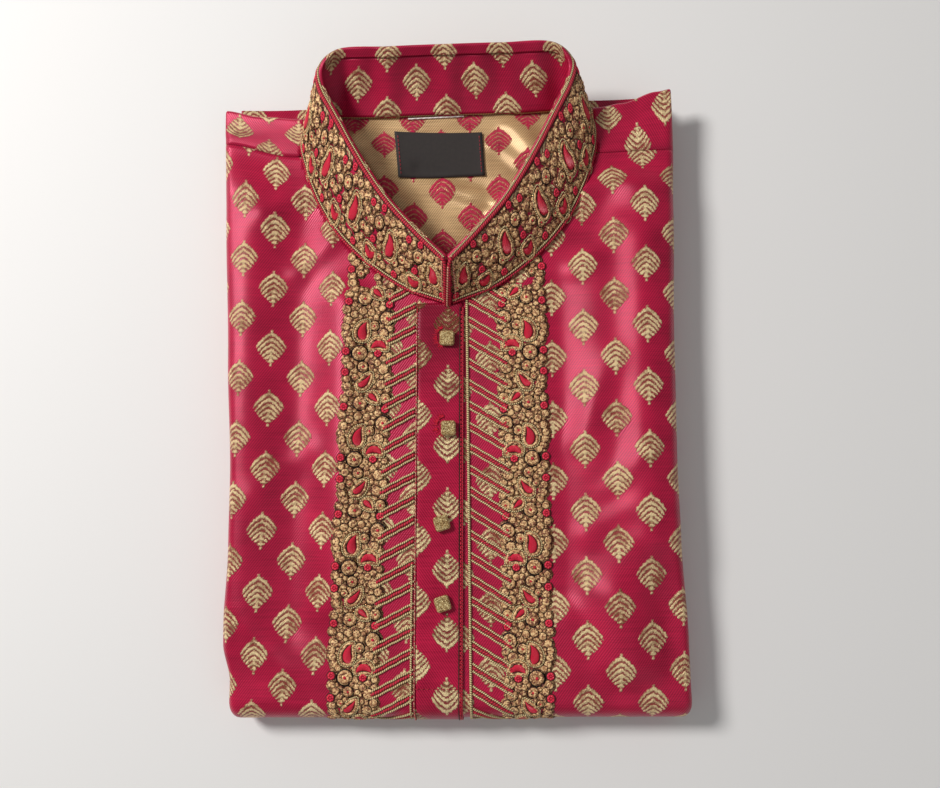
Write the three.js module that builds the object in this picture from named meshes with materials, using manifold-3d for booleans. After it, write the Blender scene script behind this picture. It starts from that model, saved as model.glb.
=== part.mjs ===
// A long-sleeved brocade kurta with a stand-up collar, folded flat for its box.
// Its front lies on top, wraps round the sides and the bottom fold, and runs back underneath.
// +X is to the right of the front, +Y runs up towards the collar, +Z is up from the table.
import * as THREE from "three";
import { mergeVertices } from "three/addons/utils/BufferGeometryUtils.js";
import Module from "manifold-3d";

// ---- Driving sizes, in millimetres ----
const TOTAL_LENGTH = 364; // bottom fold to the back of the collar
const COLLAR_REACH = 23; // how far the back of the collar stands past the shoulders
const STACK_HEIGHT = 23; // table to the top of the folded body
const UPPER_HEIGHT = 9.5; // the chest, with its sides folded in
const LOWER_HEIGHT = 10; // the skirt of the kurta, folded up behind
const GAP = 0.3; // between pieces that are sewn or lie together
const CLOTH = 1.6; // front panel's wall
const BACK_CLOTH = 1.5;
const STRIP_CLOTH = 1;
const TUCK = 14; // how far a folded side reaches in under its layer
const TUCK_END = 0.4; // where that side is sewn or turned over at its end

const BOTTOM_Y = -TOTAL_LENGTH / 2 + GAP + STRIP_CLOTH; // the border's strips stand proud of the fold
const SHOULDER_Y = TOTAL_LENGTH / 2 - COLLAR_REACH;
const SEAM_Y = 130; // shoulder seam, just forward of the shoulder fold
const TOP_Z = STACK_HEIGHT;
const BOTTOM_FOLD_RADIUS = STACK_HEIGHT / 2;
const SKIRT_FOLD_RADIUS = LOWER_HEIGHT / 2;
const SKIRT_FOLD_Y = 156; // top end of the folded-up skirt
const SKIRT_TAPER_Y = 100; // from here its sides thin out towards that fold
const SHOULDER_FOLD_RADIUS = 2.25;

const { clamp, lerp, smoothstep } = THREE.MathUtils;

// ---- Outline of the folded body, seen from above ----
const EDGES = [
  { y: 160, left: -125.4, right: 125.6 },
  { y: 134, left: -126.3, right: 126.4 },
  { y: 96, left: -125, right: 125.3 },
  { y: 15, left: -123, right: 123.2 },
  { y: -47, left: -121, right: 122.6 },
  { y: -87, left: -121.6, right: 123.2 },
  { y: -140, left: -124.4, right: 125.4 },
  { y: -160, left: -120.6, right: 125.6 },
  { y: -182, left: -121.2, right: 126.2 },
];
const SHOULDER_LINE = [
  { x: -127, edge: 157.5 },
  { x: -104, edge: 153 },
  { x: -83, edge: 151 },
  { x: 85, edge: 152.4 },
  { x: 98, edge: 154.4 },
  { x: 118, edge: 160.5 },
  { x: 127, edge: 162 },
];

// The largest folds of the front: a soft ridge or trough along a line.
const FOLDS = [
  { x0: -112, y0: 110, x1: -116, y1: -120, width: 9, height: 1.3 },
  { x0: -86, y0: 120, x1: -94, y1: -125, width: 11, height: -1 },
  { x0: 66, y0: 60, x1: 64, y1: -90, width: 9, height: -0.9 },
  { x0: 104, y0: 120, x1: 102, y1: -85, width: 14, height: 1.5 },
  { x0: 74, y0: -120, x1: 114, y1: -158, width: 9, height: -1 },
  { x0: 84, y0: -112, x1: 78, y1: -160, width: 9, height: 1.1 },
  { x0: -108, y0: -138, x1: -84, y1: -154, width: 10, height: 0.9 },
];

const range = (from, to, steps) => Array.from({ length: steps + 1 }, (_, i) => lerp(from, to, i / steps));

// A table's column, read off between its rows with eased steps.
function between(rows, key, value, at) {
  const sorted = [...rows].sort((a, b) => a[key] - b[key]);
  const last = sorted[sorted.length - 1];
  if (at <= sorted[0][key]) return sorted[0][value];
  if (at >= last[key]) return last[value];
  const i = sorted.findIndex((row) => row[key] > at);
  const [a, b] = [sorted[i - 1], sorted[i]];
  const share = smoothstep(at, a[key], b[key]);
  return a[value] + (b[value] - a[value]) * share;
}

// How far a point of the front stands off its flat level.
function foldHeight(x, y) {
  let height = 0;
  for (const fold of FOLDS) {
    const along = new THREE.Vector2(fold.x1 - fold.x0, fold.y1 - fold.y0);
    const to = new THREE.Vector2(x - fold.x0, y - fold.y0);
    const share = clamp(to.dot(along) / along.lengthSq(), 0, 1);
    const off = to.sub(along.multiplyScalar(share)).length() / fold.width;
    height += fold.height * Math.exp(-off * off);
  }
  const shoulders = smoothstep(y, SEAM_Y - 25, SEAM_Y);
  const bottom = smoothstep(-y, -BOTTOM_Y - BOTTOM_FOLD_RADIUS - 18, -BOTTOM_Y - BOTTOM_FOLD_RADIUS);
  return height * (1 - shoulders) * (1 - bottom);
}

// ---- Routes: straight runs and half-turn folds in the YZ plane ----
// turn is +1 where the cloth folds anticlockwise, seen with +Y to the right, and -1 where it folds clockwise.
function route(start, heading, turn, runs) {
  return (distance) => {
    let [y, z] = start;
    let angle = heading;
    let left = distance;
    for (const run of runs) {
      const length = run.straight ?? Math.PI * run.radius;
      const here = Math.min(left, length);
      if (run.straight !== undefined) {
        y += here * Math.cos(angle);
        z += here * Math.sin(angle);
      } else {
        const centreY = y - turn * run.radius * Math.sin(angle);
        const centreZ = z + turn * run.radius * Math.cos(angle);
        angle += (turn * here) / run.radius;
        y = centreY + turn * run.radius * Math.sin(angle);
        z = centreZ - turn * run.radius * Math.cos(angle);
      }
      left -= here;
      if (left <= 0) break;
    }
    return { y, z, outY: turn * Math.sin(angle), outZ: -turn * Math.cos(angle) };
  };
}

// Distances along a route: steps on each run, ends shared.
function stations(runs, steps) {
  const found = [0];
  let at = 0;
  runs.forEach((run, i) => {
    const length = run.straight ?? Math.PI * run.radius;
    for (let k = 1; k <= steps[i]; k++) found.push(at + (length * k) / steps[i]);
    at += length;
  });
  return found;
}

const FRONT_TOP = SEAM_Y - (BOTTOM_Y + BOTTOM_FOLD_RADIUS);
const FRONT_RUNS = [
  { straight: FRONT_TOP },
  { radius: BOTTOM_FOLD_RADIUS },
  { straight: SKIRT_TAPER_Y - (BOTTOM_Y + BOTTOM_FOLD_RADIUS) },
  { straight: SKIRT_FOLD_Y - SKIRT_FOLD_RADIUS - SKIRT_TAPER_Y },
  { radius: SKIRT_FOLD_RADIUS },
  { straight: 10 },
];
const frontRoute = route([SEAM_Y, TOP_Z], Math.PI, 1, FRONT_RUNS);
const FRONT_FOLD_END = FRONT_TOP + Math.PI * BOTTOM_FOLD_RADIUS;
const SKIRT_TAPER = FRONT_FOLD_END + FRONT_RUNS[2].straight;
const SKIRT_END = SKIRT_TAPER + FRONT_RUNS[3].straight;
const FRONT_DOWNS = stations(FRONT_RUNS, [24, 8, 3, 4, 4, 1]);

const BACK_RUNS = [
  { straight: SHOULDER_Y - SHOULDER_FOLD_RADIUS - (SEAM_Y + GAP) },
  { radius: SHOULDER_FOLD_RADIUS },
  { straight: SHOULDER_Y - SHOULDER_FOLD_RADIUS + 150 },
];
const backRoute = route([SEAM_Y + GAP, TOP_Z], 0, -1, BACK_RUNS);
const BACK_FOLD_START = BACK_RUNS[0].straight;
const BACK_FOLD_END = BACK_FOLD_START + Math.PI * SHOULDER_FOLD_RADIUS;

// A point across the cloth, turned round the sides: |across| past the flat part goes round a half circle and in under.
function sideWrap(across, edge, radius) {
  const flat = edge - radius;
  const over = Math.abs(across) - flat;
  const way = Math.sign(across);
  if (over <= 0) return { x: across, drop: 0, tilt: 0 };
  if (over < Math.PI * radius) {
    const angle = over / radius;
    return {
      x: way * (flat + radius * Math.sin(angle)),
      drop: radius * (1 - Math.cos(angle)),
      tilt: way * angle,
    };
  }
  return { x: way * (flat - (over - Math.PI * radius)), drop: 2 * radius, tilt: way * Math.PI };
}

// ---- The two big panels as surfaces: across and down the cloth, moved out by an offset ----
const SIDE_RADIUS = UPPER_HEIGHT / 2;

const TURNED_EDGE_RADIUS = 1.7; // where the folded-up skirt ends

function frontSideRadius(down) {
  const below = lerp(SIDE_RADIUS, SKIRT_FOLD_RADIUS, smoothstep(down, FRONT_TOP, FRONT_FOLD_END));
  return lerp(below, TURNED_EDGE_RADIUS, smoothstep(down, SKIRT_TAPER + 12, SKIRT_END));
}

function frontTuck(down) {
  const share = smoothstep(down, 0, 45) * (1 - smoothstep(down, SKIRT_TAPER - 60, SKIRT_TAPER));
  return lerp(TUCK_END, TUCK, share);
}

function frontPoint(across, down, offset = 0) {
  const at = frontRoute(down);
  const edge = between(EDGES, "y", across < 0 ? "left" : "right", at.y);
  const under = smoothstep(down, FRONT_TOP, FRONT_FOLD_END);
  const side = sideWrap(across, Math.abs(edge) - 1.5 * under, frontSideRadius(down));
  const rise = foldHeight(side.x, at.y) * Math.cos(Math.min(Math.abs(side.tilt), Math.PI / 2)) * (1 - under);
  const out = rise + offset * Math.cos(side.tilt) - side.drop;
  return new THREE.Vector3(
    side.x + offset * Math.sin(side.tilt),
    at.y + at.outY * out,
    at.z + at.outZ * out,
  );
}

// Inner face of the back, seen through the neck: it sinks between the collar's sides.
const HOLLOW = { x: 1, y: 100, wide: 46, long: 34, deep: 3 };
function hollowDepth(x, y) {
  const acrossShare = (x - HOLLOW.x) / HOLLOW.wide;
  const longShare = (y - HOLLOW.y) / HOLLOW.long;
  return HOLLOW.deep * Math.exp(-(acrossShare ** 2) - longShare ** 2);
}

function backSideRadius(down) {
  return lerp(SIDE_RADIUS, 1.2, smoothstep(down, 0, BACK_FOLD_START));
}

function backPoint(across, down, offset = 0) {
  const at = backRoute(down);
  const toEdge = smoothstep(down, 0, BACK_FOLD_START) * (1 - smoothstep(down, BACK_FOLD_END, BACK_FOLD_END + 40));
  const inside = smoothstep(down, BACK_FOLD_END, BACK_FOLD_END + 12);
  const edge = Math.abs(between(EDGES, "y", across < 0 ? "left" : "right", at.y)) - 9 * inside;
  const radius = backSideRadius(down);
  const side = down < BACK_FOLD_END ? sideWrap(across, edge, radius) : { x: across, drop: 0, tilt: 0 };
  const line = between(SHOULDER_LINE, "x", "edge", side.x) - SHOULDER_Y;
  const y = at.y + line * toEdge;
  const out = offset * Math.cos(side.tilt) - side.drop + inside * hollowDepth(side.x, y);
  return new THREE.Vector3(side.x + offset * Math.sin(side.tilt), y + at.outY * out, at.z + at.outZ * out);
}

// ---- From grids of points to closed solids ----
// A closed shell between two grids of the same size: grid[row][column].
function shell(outer, inner) {
  const rows = outer.length;
  const columns = outer[0].length;
  const positions = [...outer.flat(), ...inner.flat()].flatMap((p) => [p.x, p.y, p.z]);
  const id = (row, column, layer) => layer * rows * columns + row * columns + column;
  const faces = [];
  const quad = (a, b, c, d) => faces.push(a, b, c, a, c, d);
  for (let r = 0; r < rows - 1; r++) {
    for (let c = 0; c < columns - 1; c++) {
      quad(id(r, c, 0), id(r + 1, c, 0), id(r + 1, c + 1, 0), id(r, c + 1, 0));
      quad(id(r, c, 1), id(r, c + 1, 1), id(r + 1, c + 1, 1), id(r + 1, c, 1));
    }
  }
  for (let r = 0; r < rows - 1; r++) {
    quad(id(r, 0, 0), id(r, 0, 1), id(r + 1, 0, 1), id(r + 1, 0, 0));
    quad(id(r, columns - 1, 0), id(r + 1, columns - 1, 0), id(r + 1, columns - 1, 1), id(r, columns - 1, 1));
  }
  for (let c = 0; c < columns - 1; c++) {
    quad(id(0, c, 0), id(0, c + 1, 0), id(0, c + 1, 1), id(0, c, 1));
    quad(id(rows - 1, c, 0), id(rows - 1, c, 1), id(rows - 1, c + 1, 1), id(rows - 1, c + 1, 0));
  }
  const geometry = new THREE.BufferGeometry();
  geometry.setAttribute("position", new THREE.Float32BufferAttribute(positions, 3));
  geometry.setIndex(faces);
  return facingOut(geometry);
}

// Turns every face round if the closed mesh is inside out.
function facingOut(geometry) {
  const position = geometry.getAttribute("position");
  const index = geometry.index.array;
  const [a, b, c] = [new THREE.Vector3(), new THREE.Vector3(), new THREE.Vector3()];
  let volume = 0;
  for (let i = 0; i < index.length; i += 3) {
    a.fromBufferAttribute(position, index[i]);
    b.fromBufferAttribute(position, index[i + 1]);
    c.fromBufferAttribute(position, index[i + 2]);
    volume += a.dot(b.cross(c));
  }
  if (volume < 0) {
    for (let i = 0; i < index.length; i += 3) [index[i + 1], index[i + 2]] = [index[i + 2], index[i + 1]];
  }
  return geometry;
}

const wasm = await Module();
wasm.setup();

function toSolid(geometry) {
  const bare = geometry.clone();
  bare.deleteAttribute("normal");
  bare.deleteAttribute("uv");
  const merged = mergeVertices(bare, 1e-4);
  return new wasm.Manifold(
    new wasm.Mesh({
      numProp: 3,
      vertProperties: merged.getAttribute("position").array,
      triVerts: new Uint32Array(merged.index.array),
    }),
  );
}

function toGeometry(solid) {
  const mesh = solid.getMesh();
  const geometry = new THREE.BufferGeometry();
  geometry.setAttribute("position", new THREE.Float32BufferAttribute(mesh.vertProperties, 3));
  geometry.setIndex(Array.from(mesh.triVerts));
  return geometry;
}

const cut = (geometry, ...tools) =>
  toGeometry(tools.reduce((solid, tool) => solid.subtract(toSolid(tool)), toSolid(geometry)));

// An upright prism over an outline in the XY plane.
function prism(points, low, high) {
  const geometry = new THREE.ExtrudeGeometry(new THREE.Shape(points), { depth: high - low, bevelEnabled: false });
  return geometry.translate(0, 0, low);
}

// Distances across a wrapped panel: tuck, half turn, flat, half turn, tuck.
function acrossStops(left, right, radius, tuck, turnSteps, flatSteps) {
  const stops = [];
  const halfTurn = Math.PI * radius;
  stops.push(-(left - radius + halfTurn + tuck));
  for (let k = turnSteps; k > 0; k--) stops.push(-(left - radius + (halfTurn * k) / turnSteps));
  for (let k = 0; k <= flatSteps; k++) {
    stops.push(-(left - radius) + ((left + right - 2 * radius) * k) / flatSteps);
  }
  for (let k = 1; k <= turnSteps; k++) stops.push(right - radius + (halfTurn * k) / turnSteps);
  stops.push(right - radius + halfTurn + tuck);
  return stops;
}

// ---- Collar: a band on the neck seam, leaning in at the front and back behind ----
const COLLAR = {
  centreX: 1,
  seamZ: TOP_Z + GAP + 0.2,
  backSeamZ: TOP_Z - 2 * SHOULDER_FOLD_RADIUS + BACK_CLOTH + GAP,
  topZ: TOP_Z + 20.6,
  wall: 1.1,
  turnOver: 5.5,
  endGap: 0.5,
  bulge: 1.6,
};
const NECK_SEAM = [
  { x: 0, y: 42.2 },
  { x: 27.5, y: 52.6 },
  { x: 59.4, y: 79.4 },
  { x: 76.2, y: 108 },
  { x: 82, y: 138 },
  { x: 73, y: 149.5 },
  { x: 40, y: 150.6 },
  { x: 0, y: 150.8 },
];
const BACK_NECK = 81.5; // half of the neck's width along the shoulder fold
const COLLAR_TOP = [
  { x: 0, y: 63.8 },
  { x: 16.4, y: 80.4 },
  { x: 33, y: 100 },
  { x: 55, y: 137.5 },
  { x: 68.6, y: 170 },
  { x: 60.5, y: 180 },
  { x: 30, y: 181.4 },
  { x: 0, y: 181.6 },
];

// A mirrored ring through a half table, open at the centre front. share runs 0 to 1 from the left end to the right end.
function ring(half, height) {
  const right = half.map((row) => new THREE.Vector3(COLLAR.centreX + row.x, row.y, height(row)));
  const left = half.slice(0, -1).map((row) => new THREE.Vector3(COLLAR.centreX - row.x, row.y, height(row)));
  left[0].x -= COLLAR.endGap;
  right[0].x += COLLAR.endGap;
  const curve = new THREE.CatmullRomCurve3([...left, ...right.reverse()], false, "centripetal");
  curve.arcLengthDivisions = 800;
  return curve;
}
const seamHeight = (row) =>
  lerp(COLLAR.seamZ, COLLAR.backSeamZ, smoothstep(row.y, SEAM_Y + 5, SHOULDER_Y - 9));
const seamRing = ring(NECK_SEAM, seamHeight);
const topRing = ring(COLLAR_TOP, () => COLLAR.topZ);

// The band's outer face: share round the neck, up the band from 0 at the seam to 1 at the top edge.
function collarFace(share, up) {
  const low = seamRing.getPointAt(share);
  const high = topRing.getPointAt(share);
  const along = seamRing.getTangentAt(share);
  const out = new THREE.Vector3().crossVectors(along, high.clone().sub(low)).normalize();
  return low.lerp(high, up).addScaledVector(out, -COLLAR.bulge * 4 * up * (1 - up));
}

// The outward direction of the band, the same all the way up it.
function collarOut(share) {
  const step = 0.01;
  const along = collarFace(Math.min(share + step, 1), 0.5).sub(collarFace(Math.max(share - step, 0), 0.5));
  const upwards = collarFace(share, 1).sub(collarFace(share, 0));
  return new THREE.Vector3().crossVectors(upwards, along).normalize();
}

const collarHeight = (share) => seamRing.getPointAt(share).distanceTo(topRing.getPointAt(share));

const BAND_HEIGHTS = [0, 0.33, 0.66];

// Section of the collar: up the outside, over the top edge, and down the inside by the turn-over.
function collarSection(share, inset) {
  const height = collarHeight(share);
  const half = COLLAR.wall + GAP / 2;
  const round = half - inset;
  const place = (up, depth) =>
    collarFace(share, up).addScaledVector(collarOut(share), -depth);
  const points = BAND_HEIGHTS.map((up) => place(up, inset));
  const topUp = 1 - half / height;
  const upwards = topRing.getPointAt(share).sub(seamRing.getPointAt(share)).normalize();
  for (let k = 0; k <= 2; k++) {
    const angle = (Math.PI * k) / 2;
    points.push(place(topUp, half - round * Math.cos(angle)).addScaledVector(upwards, round * Math.sin(angle)));
  }
  points.push(place(1 - COLLAR.turnOver / height, 2 * half - inset));
  return points;
}

// Places round the neck, closer together at the two back corners.
const NECK_STRETCHES = [
  { to: 0.27, steps: 7 },
  { to: 0.39, steps: 8 },
  { to: 0.61, steps: 5 },
  { to: 0.73, steps: 8 },
  { to: 1, steps: 7 },
];
const shares = [0];
for (const stretch of NECK_STRETCHES) shares.push(...range(shares.at(-1), stretch.to, stretch.steps).slice(1));

// Everything under the neck seam: level with the front, and stepping down over the shoulder fold.
function underNeckSeam() {
  const profile = [
    [-200, 0],
    [-200, COLLAR.seamZ],
    [SEAM_Y + 5, COLLAR.seamZ],
    [SHOULDER_Y - 9, COLLAR.backSeamZ],
    [200, COLLAR.backSeamZ],
    [200, 0],
  ].map(([y, z]) => new THREE.Vector2(y, z));
  const geometry = new THREE.ExtrudeGeometry(new THREE.Shape(profile), { depth: 240, bevelEnabled: false });
  return geometry.rotateY(Math.PI / 2).rotateX(Math.PI / 2).translate(-120, 0, 0);
}

function collarBand() {
  const whole = shell(
    shares.map((share) => collarSection(share, 0)),
    shares.map((share) => collarSection(share, COLLAR.wall)),
  );
  return cut(whole, underNeckSeam());
}

// A flat strip on the band's faces, from one height to another, at a depth in from the outer face.
function collarStrip(low, high, depth, thickness, from = 0, to = 1) {
  const layer = (inward) =>
    shares.map((share) => {
      const at = clamp(share, from, to);
      const height = collarHeight(at);
      const ups = [low / height, ...BAND_HEIGHTS.slice(1), 1 - high / height];
      return ups.map((up) => collarFace(at, up).addScaledVector(collarOut(at), -inward));
    });
  return cut(shell(layer(depth), layer(depth + thickness)), underNeckSeam());
}

// ---- Neck opening ----
function neckOutline(grow) {
  const points = [];
  for (let k = 0; k <= 44; k++) {
    const at = seamRing.getPointAt(k / 44);
    const along = seamRing.getTangentAt(k / 44);
    const side = new THREE.Vector2(-along.y, along.x).normalize().multiplyScalar(grow);
    points.push(new THREE.Vector2(at.x + side.x, at.y + side.y));
  }
  return points;
}

// ---- Pieces ----
function frontPanel() {
  const grid = (offset) =>
    FRONT_DOWNS.map((down) => {
      const y = frontRoute(down).y;
      const under = 1.5 * smoothstep(down, FRONT_TOP, FRONT_FOLD_END);
      const left = Math.abs(between(EDGES, "y", "left", y)) - under;
      const right = between(EDGES, "y", "right", y) - under;
      const stops = acrossStops(left, right, frontSideRadius(down), frontTuck(down), 3, 10);
      return stops.map((across) => frontPoint(across, down, offset));
    });
  const whole = shell(grid(0), grid(-CLOTH));
  return cut(whole, prism(neckOutline(-0.8), TOP_Z - 6, TOP_Z + 30));
}

function backPanel() {
  const downs = stations(BACK_RUNS, [3, 5, 9]);
  const grid = (offset) =>
    downs.map((down) => {
      const radius = backSideRadius(down);
      const y = backRoute(down).y;
      const inside = smoothstep(down, BACK_FOLD_END, BACK_FOLD_END + 12);
      const left = Math.abs(between(EDGES, "y", "left", y)) - 9 * inside;
      const right = between(EDGES, "y", "right", y) - 9 * inside;
      if (down < BACK_FOLD_END - 1) {
        return acrossStops(left, right, radius, TUCK_END, 3, 8).map((across) => backPoint(across, down, offset));
      }
      const stops = acrossStops(left, right, radius, TUCK_END, 3, 8);
      const reach = Math.max(...stops);
      return stops.map((across) => backPoint((across * (right - radius)) / reach, down, offset));
    });
  const whole = shell(grid(0), grid(-BACK_CLOTH));
  const seat = COLLAR.backSeamZ - GAP;
  const behind = [
    [-BACK_NECK, SHOULDER_Y - 14],
    [BACK_NECK, SHOULDER_Y - 14],
    [BACK_NECK, SHOULDER_Y + 20],
    [-BACK_NECK, SHOULDER_Y + 20],
  ].map(([x, y]) => new THREE.Vector2(COLLAR.centreX + x, y));
  return cut(whole, prism(neckOutline(2), seat, TOP_Z + 10), prism(behind, seat, TOP_Z + 10));
}

// A rounded slab between two heights, given as functions of x and y.
function slab(xs, ys, low, high, round) {
  const y0 = ys[0];
  const y1 = ys[ys.length - 1];
  const x0 = xs[0];
  const x1 = xs[xs.length - 1];
  const inset = (x, y) => {
    const nearest = Math.min(x - x0, x1 - x, y - y0, y1 - y);
    return round * (1 - smoothstep(nearest, 0, 3));
  };
  const layer = (height, way) =>
    ys.map((y) => xs.map((x) => new THREE.Vector3(x, y, height(x, y) - way * inset(x, y))));
  return shell(layer(high, 1), layer(low, -1));
}

const FLAP_EDGE = 98; // just short of the inner end of the folded-in sides
const flapStep = [FLAP_EDGE - 0.3, FLAP_EDGE];
const slabColumns = [-116, -114, -FLAP_EDGE, -FLAP_EDGE + 0.3, ...range(-75, 75, 6), ...flapStep, 114, 116];

function upperFolds() {
  const back = TOP_Z - 2 * SHOULDER_FOLD_RADIUS - GAP;
  const rest = TOP_Z - UPPER_HEIGHT + GAP;
  const low = (x) => (Math.abs(x) < FLAP_EDGE - 0.1 ? rest : rest + CLOTH);
  const high = (x, y) => back - 0.2 - 1.12 * hollowDepth(x, y);
  return slab(slabColumns, [-150, -147, ...range(-20, 130, 7), 143, 146], low, high, 0.6);
}

function lowerFolds() {
  const low = () => CLOTH + GAP;
  const high = (x) => (Math.abs(x) < FLAP_EDGE - 0.1 ? LOWER_HEIGHT - GAP : LOWER_HEIGHT - CLOTH - GAP);
  return slab(slabColumns, [-163, -160, 0, 132, 135], low, high, 0.8);
}

const SLEEVE = { width: 117, top: 161, bottom: -158, middle: 2.5 };
function sleeve(side) {
  const low = LOWER_HEIGHT + GAP;
  const high = TOP_Z - UPPER_HEIGHT - GAP;
  const radius = (high - low) / 2;
  const outline = new THREE.Shape();
  const x0 = SLEEVE.middle + radius;
  const x1 = SLEEVE.middle + SLEEVE.width - radius;
  outline.absarc(x1, low + radius, radius, -Math.PI / 2, Math.PI / 2, false);
  outline.absarc(x0, low + radius, radius, Math.PI / 2, (3 * Math.PI) / 2, false);
  const geometry = new THREE.ExtrudeGeometry(outline, {
    depth: SLEEVE.top - SLEEVE.bottom,
    bevelEnabled: false,
    curveSegments: 5,
  });
  geometry.rotateX(Math.PI / 2).translate(0, SLEEVE.top, 0);
  return side < 0 ? geometry.rotateZ(Math.PI).translate(0, SLEEVE.top + SLEEVE.bottom, 0) : geometry;
}

// A strip laid on the front, from one distance down to another, with a row at each of the front's own.
function frontStrip(leftEdge, rightEdge, from, to, columns) {
  const downs = [from, ...FRONT_DOWNS.filter((down) => down > from + 2 && down < to - 2), to];
  const layer = (offset) =>
    downs.map((down) =>
      range(0, 1, columns).map((share) => frontPoint(lerp(leftEdge(down), rightEdge(down), share), down, offset)),
    );
  return shell(layer(GAP + STRIP_CLOTH), layer(GAP));
}

// The centre front leans a little to the left on its way down.
const centreX = (down) => lerp(-3, -7.8, down / FRONT_TOP);
const PLACKET = { half: 12.9, from: SEAM_Y - 43, end: FRONT_TOP + 26 };
const BORDER = { from: 50, leftReach: 42.5, rightReach: 47.5, seamGap: 0.5 };
const collarFoot = prism(neckOutline(0.9), TOP_Z - 6, TOP_Z + 30);

function placket() {
  const edge = (side) => (down) => centreX(down) + side * PLACKET.half;
  return cut(frontStrip(edge(-1), edge(1), PLACKET.from, PLACKET.end, 2), collarFoot);
}

function embroideredBorder(side) {
  const reach = side < 0 ? BORDER.leftReach : BORDER.rightReach;
  const inner = (down) => centreX(down) + side * (PLACKET.half + BORDER.seamGap);
  const outer = (down) => centreX(down) + side * (PLACKET.half + reach);
  const edges = side < 0 ? [outer, inner] : [inner, outer];
  return cut(frontStrip(...edges, BORDER.from, PLACKET.end, 3), collarFoot);
}

function label() {
  const [wide, long] = [49.5, 25];
  const [x0, y0] = [-5, 131.2];
  const surface = (x, y) => TOP_Z - 2 * SHOULDER_FOLD_RADIUS + BACK_CLOTH - hollowDepth(x, y);
  const layer = (offset) =>
    range(-long / 2, long / 2, 2).map((y) =>
      range(-wide / 2, wide / 2, 3).map((x) => new THREE.Vector3(x, y, surface(x + x0, y + y0) + offset)),
    );
  return shell(layer(GAP + STRIP_CLOTH + 0.2), layer(GAP + 0.2)).rotateZ(-0.035).translate(x0, y0, 0);
}

const BUTTONS = [
  { x: -0.6, y: 23.1, turn: -0.03 },
  { x: -0.4, y: -25.9, turn: 0 },
  { x: -4.6, y: -76.6, turn: 0.28 },
  { x: -4.6, y: -119, turn: 0.31 },
];
const BUTTON = { side: 8, corner: 0.8, height: 3, bevel: 0.7 };
function button({ x, y, turn }) {
  const half = BUTTON.side / 2 - BUTTON.bevel;
  const outline = new THREE.Shape();
  const inner = half - BUTTON.corner;
  [
    [inner, -inner, -Math.PI / 2],
    [inner, inner, 0],
    [-inner, inner, Math.PI / 2],
    [-inner, -inner, Math.PI],
  ].forEach(([cx, cy, start]) => outline.absarc(cx, cy, BUTTON.corner, start, start + Math.PI / 2, false));
  const geometry = new THREE.ExtrudeGeometry(outline, {
    depth: BUTTON.height - 2 * BUTTON.bevel,
    bevelThickness: BUTTON.bevel,
    bevelSize: BUTTON.bevel,
    bevelSegments: 1,
    curveSegments: 1,
  });
  const lift = TOP_Z + foldHeight(x, y) + 2 * GAP + STRIP_CLOTH + BUTTON.bevel;
  return geometry.rotateZ(turn).translate(x, y, lift);
}

// ---- Assembly ----
const finish = (color, roughness, metalness = 0) => new THREE.MeshStandardMaterial({ color, roughness, metalness });
const brocade = finish(0xb0234a, 0.5);
const brocadeReverse = finish(0xbd9c66, 0.5, 0.3);
const goldThread = finish(0x8f7a4a, 0.6, 0.5);
const blackTape = finish(0x2c2624, 0.8);
const buttonGold = finish(0xb89a63, 0.4, 0.8);

const kurta = new THREE.Group();
function add(name, geometry, material) {
  const mesh = new THREE.Mesh(geometry, material);
  mesh.name = name;
  kurta.add(mesh);
}

add("front_panel", frontPanel(), brocade);
add("back_panel", backPanel(), brocadeReverse);
add("folded_sides", upperFolds(), brocade);
add("folded_skirt", lowerFolds(), brocade);
add("sleeve_left", sleeve(-1), brocade);
add("sleeve_right", sleeve(1), brocade);
add("collar_band", collarBand(), brocade);
add("collar_facing", collarStrip(0, COLLAR.turnOver + 2.6, COLLAR.wall + 0.7, COLLAR.wall), brocade);
add("collar_embroidery", collarStrip(1.7, 2.6, -0.4 - STRIP_CLOTH, STRIP_CLOTH, 0.004, 0.996), goldThread);
add("placket", placket(), brocade);
add("embroidery_left", embroideredBorder(-1), goldThread);
add("embroidery_right", embroideredBorder(1), goldThread);
add("neck_label", label(), blackTape);
BUTTONS.forEach((row, i) => add(`button_${i + 1}`, button(row), buttonGold));

export default kurta;
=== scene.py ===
"""A crimson brocade kurta with a stand-up collar, folded flat."""

import math

import bmesh
import bpy
import numpy as np
from mathutils import Matrix, Vector


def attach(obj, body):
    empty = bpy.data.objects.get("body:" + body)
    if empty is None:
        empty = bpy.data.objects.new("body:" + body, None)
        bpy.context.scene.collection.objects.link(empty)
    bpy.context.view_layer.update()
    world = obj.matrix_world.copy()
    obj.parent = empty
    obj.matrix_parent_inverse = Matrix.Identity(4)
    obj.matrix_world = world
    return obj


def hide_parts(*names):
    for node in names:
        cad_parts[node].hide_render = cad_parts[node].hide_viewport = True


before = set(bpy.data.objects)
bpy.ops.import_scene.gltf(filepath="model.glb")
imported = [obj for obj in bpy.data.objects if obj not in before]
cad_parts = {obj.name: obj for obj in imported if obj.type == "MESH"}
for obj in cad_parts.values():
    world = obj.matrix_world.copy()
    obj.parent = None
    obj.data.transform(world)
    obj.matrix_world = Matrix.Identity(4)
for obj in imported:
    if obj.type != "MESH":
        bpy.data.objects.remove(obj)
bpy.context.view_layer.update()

MM = 0.001
RNG = np.random.default_rng(7)

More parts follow.
